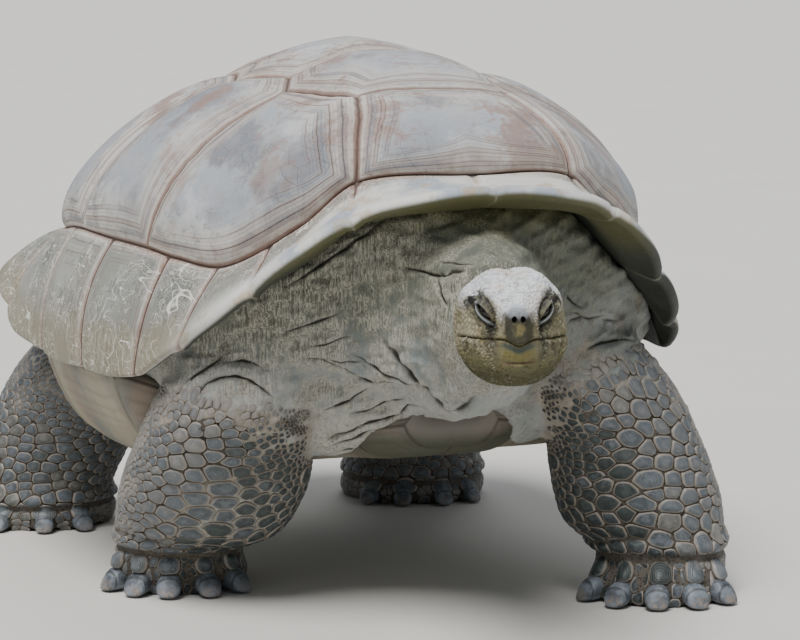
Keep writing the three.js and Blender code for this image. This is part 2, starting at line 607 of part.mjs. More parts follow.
function plastronSolid() {
  const s = new Surface();
  const spans = PLASTRON_SEAMS.slice(1).map((to, i) => plastronStations(PLASTRON_SEAMS[i], to));
  spans.forEach((ys) => [-1, 1].forEach((side) => plastronPlate(s, ys, side)));
  const ys = [...new Set(spans.flat())];
  const across = [...PLASTRON_COLUMNS.map((c) => -c).reverse(), ...PLASTRON_COLUMNS.slice(1)];
  const rows = ys.map((y) => across.map((c) => insidePlastron(c, y)));
  const edge = (c, y) => onPlastron([c, y], 0);
  for (let b = 0; b + 1 < ys.length; b++) {
    for (let a = 0; a + 1 < across.length; a++) {
      s.quad(rows[b][a], rows[b][a + 1], rows[b + 1][a + 1], rows[b + 1][a]);
    }
    s.quad(edge(-1, ys[b]), rows[b][0], rows[b + 1][0], edge(-1, ys[b + 1]));
    s.quad(rows[b].at(-1), edge(1, ys[b]), edge(1, ys[b + 1]), rows[b + 1].at(-1));
  }
  for (let a = 0; a + 1 < across.length; a++) {
    const [left, right] = [across[a], across[a + 1]];
    s.quad(edge(left, ys[0]), edge(right, ys[0]), rows[0][a + 1], rows[0][a]);
    s.quad(rows.at(-1)[a], rows.at(-1)[a + 1], edge(right, ys.at(-1)), edge(left, ys.at(-1)));
  }
  return s.solid();
}

// The room under the plastron, which the skin beside it keeps out of.
function underPlastron() {
  return loft(PLASTRON.map(([y, [half, low]]) => {
    const [side, top] = [half - UNDER_ROOM.side, low + UNDER_ROOM.top];
    return [[-side, y, 0], [side, y, 0], [side, y, top], [-side, y, top]];
  }));
}

// ---------------------------------------------------------------- legs
// A leg's own axes at a share of its length: across, to the front, and how it lies.
function legFrame(leg, s) {
  const [x, y, z, half, deep] = keyed(leg.stations, s);
  const step = 0.01;
  const ahead = keyed(leg.stations, Math.min(1, s + step));
  const along = add(ahead, keyed(leg.stations, Math.max(0, s - step)), -1).slice(0, 3);
  const level = mix(LEVEL.least, 1, smooth((s - LEVEL.from) / LEVEL.over));
  const down = unit(lerp(unit(along), [0, 0, -1], level));
  const side = unit(add(ACROSS, down, -dot(ACROSS, down)));
  return { centre: [x, y, z], half, deep, side, front: cross(down, side) };
}
// A point of a leg's skin: share of its length, angle round it from the front toward its left.
function legPoint(leg, [s, angle], height = 0) {
  const f = legFrame(leg, s);
  const toe = (a) => bell(Math.sin((angle - a * DEGREE) / 2) * 2, TOE.width);
  const toes = leg.claws.reduce((sum, a) => sum + toe(a), 0);
  const ankle = ANKLE.deep * bell(s - leg.to - ANKLE.below, ANKLE.width);
  const out = height + TOE.rise * smooth((s - TOE.from) / TOE.over) * toes - ankle;
  const sideways = (f.half + out) * power(Math.sin(angle), LEG_SQUARE);
  const forward = (f.deep + out) * power(Math.cos(angle), LEG_SQUARE);
  const p = add(add(f.centre, f.side, sideways), f.front, forward);
  return s > 0.999 ? [p[0], p[1], 0] : p;
}
const legRing = (leg, s, height = 0, every = 1) => {
  const n = leg.columns * 2;
  return count(n / every).map((k) => legPoint(leg, [s, turn(k * every, n)], height));
};
// The plain top of a leg, inside the body; gives back its lowest ring.
function legRoot(s, leg) {
  const rings = ROOT_SHARES.map(([share, every]) => legRing(leg, share * (leg.from - ROOT_END), 0, every));
  const [low, middle, high, top] = rings;
  s.band(low, middle);
  s.halve(middle, high);
  s.band(high, top);
  s.fan(top, legFrame(leg, 0).centre);
  return low;
}
// The room a leg takes up: the same skin, swollen over its plates.
function legRoom(leg) {
  const s = new Surface();
  const plated = ROOM_SHARES.map((t) => mix(leg.from, leg.to, t));
  const rings = [...plated, leg.from - ROOM_END].map((at) => legRing(leg, at, LEG_PLATE_ROOM));
  s.bands([...rings, legRoot(s, leg)]);
  s.fan([...rings[0]].reverse(), mean(rings[0]));
  return s.solid();
}
// The skin of the shoulder, drawn over the root of the foreleg.
function legCuff(leg) {
  return loft(CUFF.map(([t, thick]) => legRing(leg, mix(CUFF_TOP, leg.cuff, t), thick)).reverse());
}

function legSolid(leg) {
  const s = new Surface();
  const n = leg.columns * 2;
  const rowStep = (leg.to - leg.from) / leg.rows;
  // Six-sided plates stand on a grid whose rows zigzag.
  const corner = (row, k) => {
    const i = ((k % n) + n) % n;
    const up = (i + row) % 2 === 0 ? -1 : 1;
    const loose = row === 0 || row === leg.rows ? ZIGZAG.endLoose : ZIGZAG.loose;
    const down = row + ZIGZAG.by * up + loose * jitter(row, i, 1);
    return [leg.from + rowStep * down, turn(k + ZIGZAG.sideways * jitter(row, i, 2), n)];
  };
  const border = (row) => count(n).map((k) => legPoint(leg, corner(row, k)));
  const below = SOLE_RINGS.map(([share, down]) => legRing(leg, share || leg.to + down));
  s.band(border(0), legRoot(s, leg));
  for (let row = 0; row < leg.rows; row++) {
    for (let k = row % 2; k < n; k += 2) {
      const lower = [k - 1, k, k + 1].map((i) => corner(row + 1, i));
      const upper = [k + 1, k, k - 1].map((i) => corner(row, i));
      const loop = [...lower, ...upper];
      s.plate((q, h) => legPoint(leg, q, h), loop, mean(loop), LEG_PLATE, true);
    }
  }
  s.bands([...below, border(leg.rows)]);
  const [x, y] = legFrame(leg, 1).centre;
  s.fan([...below[0]].reverse(), [x, y, 0]);
  return s.solid();
}

// A claw is a stout blunt nail: it grows from the toe's edge, forward and down.
function clawSolid(leg, angle) {
  const a = angle * DEGREE;
  const root = legPoint(leg, [NAIL_ROOT.at, a], -NAIL_ROOT.sunk);
  const away = unit(add(TOWARD.map((c) => c * Math.cos(a)), ACROSS, Math.sin(a)));
  const wide = unit(cross(away, [0, 0, 1]));
  return loft(NAIL.map(([out, half, high]) => {
    const centre = add(root, away, leg.claw * out);
    const lift = leg.claw * high;
    centre[2] = lift * NAIL_REST.sag + NAIL_REST.over + leg.claw * NAIL_REST.slope * (1 - out);
    return count(NAIL_SIDES).map((k) => {
      const q = turn(k, NAIL_SIDES);
      const flat = Math.sin(q) < 0 ? NAIL_REST.flat : 1;
      return add(add(centre, wide, leg.claw * half * Math.cos(q)), [0, 0, lift * Math.sin(q) * flat]);
    });
  }));
}

// ---------------------------------------------------------------- torso, neck and tail
// The flesh in the carapace: clear of the dome, half way into the marginals' wall, which cuts it to fit.
function innerBody() {
  const s = new Surface();
  const n = 3 * LAST_MARGINAL;
  const ms = count(n).map((i) => wrap((i * 2) / 3 - LAST_MARGINAL));
  const edge = (m) => onMarginal([m, keyed(FLESH_REACH, Math.abs(m))], -WALL / 2);
  const underDome = (q) => onDome(q, -WALL - FLESH_CLEAR);
  const domed = FLESH_DOME.map((t) => ms.map((m) => underDome(disc(m).map((c) => c * t))));
  const drawnIn = ([x, y, z], share) => [x * share, y * share, z];
  const under = ms.map((m) => {
    const [x, y, z] = drawnIn(edge(m), FLESH_IN.under);
    return [x, y, mix(z, FLESH_FLOOR + 10, FLESH_IN.drop)];
  });
  const floor = ms.map((m) => {
    const [x, y] = drawnIn(onMarginal([m, 0.4], 0), FLESH_IN.floor);
    return [x, y, FLESH_FLOOR];
  });
  s.bands([...domed, ms.map(edge), under, floor].reverse());
  s.fan(domed[0], underDome([0, 0.001]));
  s.fan([...floor].reverse(), [0, -20, FLESH_FLOOR - 4]);
  return s.solid();
}
// A stack of squared ovals, one for each height.
function stack(levels, sides) {
  return loft(levels.map(([z, half, front, rear, square]) =>
    count(sides).map((k) => [...planCurve(turn(k, sides), -front, rear, half, square), z])));
}
function tube(stations, shares, sides, swell = () => 0) {
  return loft(shares.map((t) => {
    const [x, y, z, half, high] = keyed(stations, t);
    return count(sides).map((k) => {
      const a = turn(k, sides);
      return [x + half * Math.cos(a), y, z + high * Math.sin(a) + swell(t, a)];
    });
  }));
}
// The throat's pouch hangs to the right, and a fold of skin stands on the nape.
function neckFolds(t, a) {
  const pouch = POUCH.sag * bell(a - POUCH.at, POUCH.width) * bell(t - POUCH.along, POUCH.length);
  const nape = NAPE.rise * bell(a - Math.PI / 2, NAPE.width) * bell(t - NAPE.along, NAPE.length);
  return nape * Math.sin(a) - pouch;
}
const neckSolid = () => tube(NECK, [0, 0.2, 0.34, 0.46, 0.57, 0.68, 0.78, 0.88, 1], 22, neckFolds);

function tailSolid() {
  return loft(TAIL.map(([x, y, z, half, high], i) => count(TAIL_SIDES).map((k) => {
    const a = turn(k, TAIL_SIDES);
    const lean = i * TAIL_LEAN;
    const up = high * Math.sin(a);
    return [x + half * Math.cos(a), y - up * Math.sin(lean), z + up * Math.cos(lean)];
  })));
}

// ---------------------------------------------------------------- head
const [YAW, PITCH] = [HEAD.yaw * DEGREE, HEAD.pitch * DEGREE];
const FORWARD = [-Math.sin(YAW) * Math.cos(PITCH), -Math.cos(YAW) * Math.cos(PITCH), -Math.sin(PITCH)];
const LEFT = [Math.cos(YAW), -Math.sin(YAW), 0];
const UP = cross(FORWARD, LEFT);
// From the head's own frame, [left, forward, up] from its middle, to the part's.
const headPlace = ([left, forward, up]) => add(add(add(HEAD.centre, LEFT, left), FORWARD, forward), UP, up);

// Half width of the skull at a level, from -1 at the chin to 1 at the crown.
function skullHalf([brow, jaw], level) {
  return mix(jaw, brow, smooth((level - JAW.to) / JAW.over));
}
function skullPoint(forward, a) {
  const shape = keyed(SKULL, forward);
  const [, , top, bottom, square] = shape;
  const level = power(Math.sin(a), square);
  const brows = BROW.sides.reduce((sum, side) => sum + bell(a - side, BROW.width), 0);
  const ridge = BROW.rise * brows * bell(forward - BROW.at, BROW.length);
  const crown = CROWN.dip * bell(a - Math.PI / 2, CROWN.width) * bell(forward - CROWN.at, CROWN.length);
  const up = (top + bottom) / 2 + ((top - bottom) / 2) * level + (ridge - crown) * Math.sin(a);
  return [skullHalf(shape, level) * power(Math.cos(a), square), forward, up];
}
// Half width of the skull at a height over its middle.
function skullWidth(forward, up) {
  const shape = keyed(SKULL, forward);
  const [, , top, bottom, square] = shape;
  const level = clamp((up - (top + bottom) / 2) / ((top - bottom) / 2), -1, 1);
  const sine = Math.abs(level) ** (1 / square);
  return skullHalf(shape, level) * Math.sqrt(1 - sine * sine) ** square;
}
// A tube along points of the head's own frame, its radius a function of the share of the way.
function headTube(points, radius, sides = 5) {
  return loft(points.map((p, i) => {
    const along = unit(add(points[Math.min(points.length - 1, i + 1)], points[Math.max(0, i - 1)], -1));
    const side = unit(cross(along, [0, 0, 1]));
    const over = cross(along, side);
    const r = radius(i / (points.length - 1));
    return count(sides).map((k) => {
      const q = turn(k, sides);
      return headPlace(add(add(p, side, r * Math.cos(q)), over, r * Math.sin(q)));
    });
  }));
}
const flipSide = ([x, y, z]) => [-x, y, z];
// The line of the mouth, from one corner round the beak to the other, off the skin by a distance.
function mouthCurve(off, corner) {
  const half = count(6).map((i) => {
    const forward = mix(corner, MOUTH.front, Math.sin((i / 5) * Math.PI * 0.5));
    const up = MOUTH_WAVE.reduce((sum, [by, at, width]) => sum + by * bell(forward - at, width), MOUTH.up);
    return [skullWidth(forward, up) + off, forward + off * smooth((forward - 60) / 30), up];
  });
  const [, forward, up] = half.at(-1);
  return [...half, [0, forward + MOUTH.beak, up - 1], ...half.map(flipSide).reverse()];
}

function eyeSolid(side) {
  const rings = count(EYE.rings - 1).map((i) => (Math.PI * (i + 1)) / EYE.rings);
  return loft(rings.map((t) => count(EYE.sides).map((k) => {
    const across = EYE.radius * Math.sin(t);
    const q = turn(k, EYE.sides);
    const [left, forward] = [side * EYE.side + across * Math.cos(q), EYE.forward + across * Math.sin(q)];
    return headPlace([left, forward, EYE.up + EYE.radius * Math.cos(t)]);
  })));
}
// A place on a lid: along the eye's slit toward the nose, and over it, on the ball's front.
function lidPoint(along, arch, side) {
  const [outward, toNose] = [LID.outward, LID.toNose].map(([x, y, z]) => unit([side * x, y, z]));
  const over = unit(cross(outward, toNose));
  const upward = over[2] > 0 ? arch : -arch;
  const left = (EYE.radius + LID.over) ** 2 - along * along * LID.flat - arch * arch;
  const bulge = Math.sqrt(Math.max(20, left));
  return add(add(add([side * EYE.side, EYE.forward, EYE.up], outward, bulge), toNose, along), over, upward);
}
function lidSolid(side, arch, thick) {
  const points = count(6).map((i) => {
    return lidPoint((i / 5 - 0.5) * EYE.slit, arch * Math.sin((Math.PI * i) / 5), side);
  });
  return headTube(points, (t) => thick * mix(LID.ends, 1, Math.sin(Math.PI * t)));
}

function headSolid() {
  const ring = (forward) => count(SKULL_SIDES).map((k) => skullPoint(forward, turn(k, SKULL_SIDES)));
  const skull = loft(SKULL_STATIONS.map((forward) => ring(forward).map(headPlace)));
  const lids = [-1, 1].flatMap((side) => LIDS.map(([arch, thick]) => lidSolid(side, arch, thick)));
  const lips = headTube(mouthCurve(-MOUTH.lip / 2, MOUTH.corner), () => MOUTH.lip);
  const line = headTube(mouthCurve(MOUTH.lineOut, MOUTH.lineCorner), () => MOUTH.line);
  const nostrils = [-1, 1].map((side) => {
    const points = [1, 0.5, 0].map((t) => {
      const left = side * (NOSTRIL.side + 0.3 * (t - 0.5));
      return [left, mix(NOSTRIL.to, NOSTRIL.from, t), NOSTRIL.up + 4 * (t - 0.5)];
    });
    return headTube(points, (t) => NOSTRIL.radius - t);
  });
  const fleshed = [...lids, lips].reduce((head, piece) => head.add(piece), skull);
  return [line, ...nostrils].reduce((head, piece) => head.subtract(piece), fleshed);
}

// ---------------------------------------------------------------- assembly
const colours = { shell: 0x6d6659, skin: 0x6f6a5c, leg: 0x55585a, claw: 0x3b3a38, eye: 0x14110f };
const COARSE = 0.15; // how far a merged face may lie off the ones it replaces
const FINE = 0.05; // the same for the slender tail

const legs = Object.entries(LEGS);
const rooms = legs.map(([, leg]) => legRoom(leg));
const carapace = carapaceSolid();
const plastron = largest(without(plastronSolid(), carapace), COARSE);
const eyes = { eye_left: eyeSolid(1), eye_right: eyeSolid(-1) };
const head = largest(without(headSolid(), ...Object.values(eyes)), COARSE);
const tail = largest(without(tailSolid(), carapace, plastron), FINE);
const neck = largest(without(neckSolid(), carapace, plastron, head, ...rooms), COARSE);

const flesh = [
  stack(CHEST, 20),
  stack(BELLY, 14),
  tube(COLLAR, [0, 0.4, 0.75, 1], 18),
  ...legs.filter(([, leg]) => leg.cuff).map(([, leg]) => legCuff(leg)),
].reduce((body, piece) => body.add(piece), innerBody()).subtract(underPlastron());
const torso = without(flesh, carapace, plastron, neck, tail, ...rooms);
const ahead = boxSolid([-700, -900, -50], [700, TORSO_SPLIT, 900]);

const group = new THREE.Group();
const built = [];
const keep = (name, solid, kind) => built.push({ name, solid, kind });
keep("carapace", carapace, "shell");
keep("plastron", plastron, "shell");
keep("torso_front", largest(torso.intersect(ahead), COARSE), "skin");
keep("torso_rear", largest(torso.subtract(grown(ahead)), COARSE), "skin");
keep("neck", neck, "skin");
keep("head", head, "skin");
keep("tail", tail, "skin");
Object.entries(eyes).forEach(([name, solid]) => keep(name, solid, "eye"));
for (const [name, leg] of legs) {
  const claws = leg.claws.map((angle) => clawSolid(leg, angle));
  keep(name, largest(without(legSolid(leg), carapace, plastron, ...claws), COARSE), "leg");
  claws.forEach((claw, i) => keep(name.replace("leg", "_claw") + "_" + (i + 1), claw, "claw"));
}

// The part's origin is the middle of its outer box, on the floor.
const boxes = built.map(({ solid }) => solid.boundingBox());
const low = [0, 1].map((i) => Math.min(...boxes.map((box) => box.min[i])));
const high = [0, 1].map((i) => Math.max(...boxes.map((box) => box.max[i])));
const origin = [...lerp(low, high, 0.5), 0];
for (const { name, solid, kind } of built) {
  const source = solid.getMesh();
  const places = corners(source);
  const pivot = mean(places).map(Math.round);
  const position = new Float32Array(places.flatMap((p) => add(p, pivot, -1)));
  const geometry = new THREE.BufferGeometry();
  geometry.setAttribute("position", new THREE.BufferAttribute(position, 3));
  geometry.setIndex(new THREE.BufferAttribute(new Uint32Array(source.triVerts), 1));
  const material = new THREE.MeshStandardMaterial({ color: colours[kind], roughness: 0.8 });
  const mesh = new THREE.Mesh(geometry, material);
  mesh.name = name;
  mesh.position.set(...add(pivot, origin, -1));
  group.add(mesh);
}
export default group;
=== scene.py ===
"""Dresses the giant tortoise: shell, skin, scales, claws and eyes, on a pale floor in soft light.

Shapes are worked out in the animal's own frame, in millimetres: it faces -Y, its left side is +X and
its soles stand on z = 0. BodyFrame takes them to the model's frame, in metres.
"""

from __future__ import annotations

import logging
import math
from collections.abc import Callable, Sequence
from dataclasses import dataclass, field
from enum import Enum

import bmesh
import bpy
import numpy as np
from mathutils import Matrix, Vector
from mathutils.bvhtree import BVHTree

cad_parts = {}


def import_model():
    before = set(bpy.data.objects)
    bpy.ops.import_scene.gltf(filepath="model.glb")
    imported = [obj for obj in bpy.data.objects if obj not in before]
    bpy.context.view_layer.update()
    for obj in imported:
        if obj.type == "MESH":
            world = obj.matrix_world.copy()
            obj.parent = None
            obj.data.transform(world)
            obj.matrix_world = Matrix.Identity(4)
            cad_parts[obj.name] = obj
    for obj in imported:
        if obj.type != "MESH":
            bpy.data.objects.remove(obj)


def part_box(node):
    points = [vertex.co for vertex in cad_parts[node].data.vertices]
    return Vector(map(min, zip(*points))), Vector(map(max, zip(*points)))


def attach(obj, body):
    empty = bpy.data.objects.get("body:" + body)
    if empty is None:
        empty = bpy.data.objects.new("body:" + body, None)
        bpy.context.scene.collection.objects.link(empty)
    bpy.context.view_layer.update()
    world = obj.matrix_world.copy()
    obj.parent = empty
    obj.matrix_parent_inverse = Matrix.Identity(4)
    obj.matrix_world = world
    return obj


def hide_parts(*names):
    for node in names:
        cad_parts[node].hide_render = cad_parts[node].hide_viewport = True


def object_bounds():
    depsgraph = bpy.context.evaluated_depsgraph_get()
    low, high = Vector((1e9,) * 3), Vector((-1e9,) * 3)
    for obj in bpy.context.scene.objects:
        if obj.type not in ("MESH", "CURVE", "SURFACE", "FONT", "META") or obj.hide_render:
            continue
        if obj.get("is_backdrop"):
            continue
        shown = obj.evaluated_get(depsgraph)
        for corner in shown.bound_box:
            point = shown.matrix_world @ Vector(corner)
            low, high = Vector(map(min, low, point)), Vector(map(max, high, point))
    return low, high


LOG = logging.getLogger("tortoise")
MM = 0.001
WELD = 2e-6  # metres within which two points are one

Array = np.ndarray
Table = Sequence[Sequence[object]]
Triple = tuple[float, float, float]
Measure = Callable[[Array], Array]
Object, Mesh, Material, BMesh = bpy.types.Object, bpy.types.Mesh, bpy.types.Material, bmesh.types.BMesh


class Slot(Enum):
    """The record's material slots."""

    SHELL = "shell"
    SKIN = "skin"
    SCALES = "leg_scutes"
    CLAW = "claw"
    EYE = "eye"


# ------------------------------------------------------------------ small tools
def smooth(x: Array | float) -> Array:
    """Returns 0 below 0, 1 above 1 and an S curve between."""
    t = np.clip(x, 0.0, 1.0)
    return t * t * (3 - 2 * t)


def bell(x: Array | float, width: float) -> Array:
    """Returns a bump of height 1 round 0."""
    return np.exp(-((np.asarray(x) / width) ** 2))


def mix(a: Array | float, b: Array | float, t: Array | float) -> Array:
    """Returns the value at share t of the way from a to b."""
    return a + (b - a) * t


def power(x: Array, p: float | Array) -> Array:
    """Returns x raised to p with its sign kept."""
    return np.sign(x) * np.abs(x) ** p


def unit(v: Array) -> Array:
    """Returns vectors scaled to length 1."""
    return v / np.maximum(np.linalg.norm(v, axis=-1, keepdims=True), 1e-9)


def norm(v: Array) -> Array:
    """Returns the lengths of vectors."""
    return np.linalg.norm(v, axis=-1)


def join(*parts: Array | float) -> Array:
    """Returns coordinates stacked as the last axis."""
    return np.stack(np.broadcast_arrays(*parts), -1)


def jumbled(number: Array, stretch: float, shift: float, spread: float) -> Array:
    """Returns a value from 0 to 1 for each number, in no order that shows."""
    return np.modf(np.abs(np.sin(number * stretch + shift)) * spread)[0]


class Keyed:
    """A smooth curve through keyed values, each a number or a row of numbers."""

    def __init__(self, table: Table) -> None:
        """Reads the keys and works out the slope at each.

        Args:
            table: rows of a key and its value.
        """
        self.at = np.array([row[0] for row in table], float)
        self.values = np.array([np.atleast_1d(row[1]) for row in table], float)
        steps = np.diff(self.values, axis=0) / np.diff(self.at)[:, None]
        inner = (self.values[2:] - self.values[:-2]) / (self.at[2:] - self.at[:-2])[:, None]
        self.slopes = np.concatenate([steps[:1], inner, steps[-1:]])

    def __call__(self, at: Array | float) -> Array:
        """Returns the values at some keys, with the row's numbers as the last axis if it has several."""
        at = np.asarray(at, float)
        i = np.clip(np.searchsorted(self.at, at, side="right") - 1, 0, len(self.at) - 2)
        span = (self.at[i + 1] - self.at[i])[..., None]
        t = np.clip((at[..., None] - self.at[i][..., None]) / span, 0, 1)
        rest = 1 - t
        start = rest * rest * ((1 + 2 * t) * self.values[i] + t * self.slopes[i] * span)
        end = t * t * ((3 - 2 * t) * self.values[i + 1] - rest * self.slopes[i + 1] * span)
        return (start + end)[..., 0] if self.values.shape[1] == 1 else start + end


@dataclass(frozen=True)
class Wander:
    """A smooth random field: a few waves of one scale in seeded directions."""

    scale: float  # length of a wave
    seed: int
    waves: int = 7

    def __call__(self, points: Array) -> Array:
        """Returns values of about -1 to 1 at points of two or three coordinates."""
        draw = np.random.default_rng(self.seed)
        size = points.shape[-1]
        ways = unit(draw.normal(size=(self.waves, size))) * (2 * math.pi / self.scale)
        ways *= draw.uniform(0.6, 1.5, (self.waves, 1))
        phases = draw.uniform(0, 2 * math.pi, self.waves)
        return np.sin(points @ ways.T + phases).sum(-1) / math.sqrt(self.waves)


@dataclass(frozen=True)
class BodyFrame:
    """Takes points from the animal's frame to the model's and back."""

    origin: Array

    def metres(self, points: Array) -> Array:
        """Returns the model's metres for the animal's millimetres."""
        return (np.asarray(points, float) - self.origin) * MM

    def body(self, points: Array) -> Array:
        """Returns the animal's millimetres for the model's metres."""
        return np.asarray(points, float) / MM + self.origin


# ------------------------------------------------------------------ meshes
@dataclass
class Patch:
    """A grid of points in the animal's frame, with named values at each."""

    points: Array  # rows, columns, 3
    values: dict[str, Array] = field(default_factory=dict)


def read_points(mesh: Mesh) -> Array:
    """Returns a mesh's vertices as rows."""
    flat = np.empty(len(mesh.vertices) * 3)
    mesh.vertices.foreach_get("co", flat)
    return flat.reshape(-1, 3)


def write_points(mesh: Mesh, points: Array) -> None:
    """Moves a mesh's vertices to the points."""
    mesh.vertices.foreach_set("co", np.asarray(points, float).ravel())
    mesh.update()


def read_normals(mesh: Mesh) -> Array:
    """Returns a mesh's vertex normals as rows."""
    flat = np.empty(len(mesh.vertices) * 3)
    mesh.vertex_normals.foreach_get("vector", flat)
    return flat.reshape(-1, 3)


def set_value(mesh: Mesh, name: str, values: Array) -> None:
    """Writes one number for each vertex under a name that materials read."""
    layer = mesh.attributes.get(name) or mesh.attributes.new(name, "FLOAT", "POINT")
    layer.data.foreach_set("value", np.asarray(values, float).ravel())


def triangle_count(mesh: Mesh) -> int:
    """Returns how many triangles a mesh makes."""
    return sum(len(p.vertices) - 2 for p in mesh.polygons)


def new_mesh(name: str, bm: BMesh) -> Mesh:
    """Returns a new mesh of what a bmesh holds, and frees the bmesh."""
    mesh = bpy.data.meshes.new(name)
    bm.to_mesh(mesh)
    bm.free()
    return mesh


def edit(mesh: Mesh, change: Callable[[BMesh], None]) -> None:
    """Opens a mesh, changes it and writes it back.

    Args:
        mesh: the mesh to change.
        change: what is done to it.
    """
    bm = bmesh.new()
    bm.from_mesh(mesh)
    change(bm)
    bm.to_mesh(mesh)
    bm.free()
    mesh.update()


def shade_smooth(mesh: Mesh) -> None:
    """Shades all faces smooth."""
    mesh.polygons.foreach_set("use_smooth", np.ones(len(mesh.polygons), bool))
    mesh.update()


def new_object(name: str, mesh: Mesh) -> Object:
    """Returns an object of the mesh in the scene."""
    obj = bpy.data.objects.new(name, mesh)
    bpy.context.scene.collection.objects.link(obj)
    return obj


def applied(obj: Object) -> Mesh:
    """Returns the mesh that an object's modifiers make."""
    graph = bpy.context.evaluated_depsgraph_get()
    return bpy.data.meshes.new_from_object(obj.evaluated_get(graph))


def weld(bm: BMesh) -> None:
    """Joins the points of patches that meet, closes small holes and turns the faces outwards."""
    bmesh.ops.remove_doubles(bm, verts=bm.verts, dist=WELD)
    bmesh.ops.dissolve_degenerate(bm, edges=bm.edges, dist=WELD / 4)
    bmesh.ops.recalc_face_normals(bm, faces=bm.faces)


def drop_crumbs(bm: BMesh) -> None:
    """Deletes what hangs loose beside the largest piece of a mesh."""
    left, pieces = set(bm.verts), []
    while left:
        piece, rim = set(), {left.pop()}
        while rim:
            piece |= rim
            rim = {edge.other_vert(vert) for vert in rim for edge in vert.link_edges} - piece
        left -= piece
        pieces.append(piece)
    pieces.remove(max(pieces, key=len))
    bmesh.ops.delete(bm, geom=[vert for piece in pieces for vert in piece], context="VERTS")


def patch_mesh(name: str, patches: Sequence[Patch], frame: BodyFrame) -> Mesh:
    """Makes one mesh of grids, each made as a grid and then moved to its points.

    Args:
        name: the mesh's name.
        patches: the grids, which meet at equal points.
        frame: the animal's frame.

    Returns:
        The welded mesh, with the patches' values on its vertices.
    """
    bm = bmesh.new()
    for patch in patches:
        rows, columns = patch.points.shape[:2]
        bmesh.ops.create_grid(bm, x_segments=columns - 1, y_segments=rows - 1, size=1.0)
    mesh = new_mesh(name, bm)
    write_points(mesh, frame.metres(np.concatenate([p.points.reshape(-1, 3) for p in patches])))
    for key in patches[0].values:
        set_value(mesh, key, np.concatenate([p.values[key].ravel() for p in patches]))
    edit(mesh, weld)
    shade_smooth(mesh)
    return mesh


# ------------------------------------------------------------------ the shell's shape
MARGINALS = 12  # from the front to the middle of the tail plate
WALL = 24.0  # thickness of the carapace
GROOVE = 3.5  # height of a shell plate over the seam round it
GROOVE_WIDTHS = (2.6, 2.8, 3.0)  # on the dome, the marginals and the under shell


@dataclass(frozen=True)
class Oval:
    """A squared oval in plan."""

    front: float
    rear: float
    side: float

    def point(self, angle: Array, square: Array | float) -> Array:
        """Returns x and y at an angle from the front toward the right side."""
        s, c = np.sin(angle), np.cos(angle)
        reach = (np.abs(s) ** square + np.abs(c) ** square) ** (-1 / np.asarray(square))
        return join(-self.side * s * reach, -np.where(c > 0, self.front, self.rear) * c * reach)


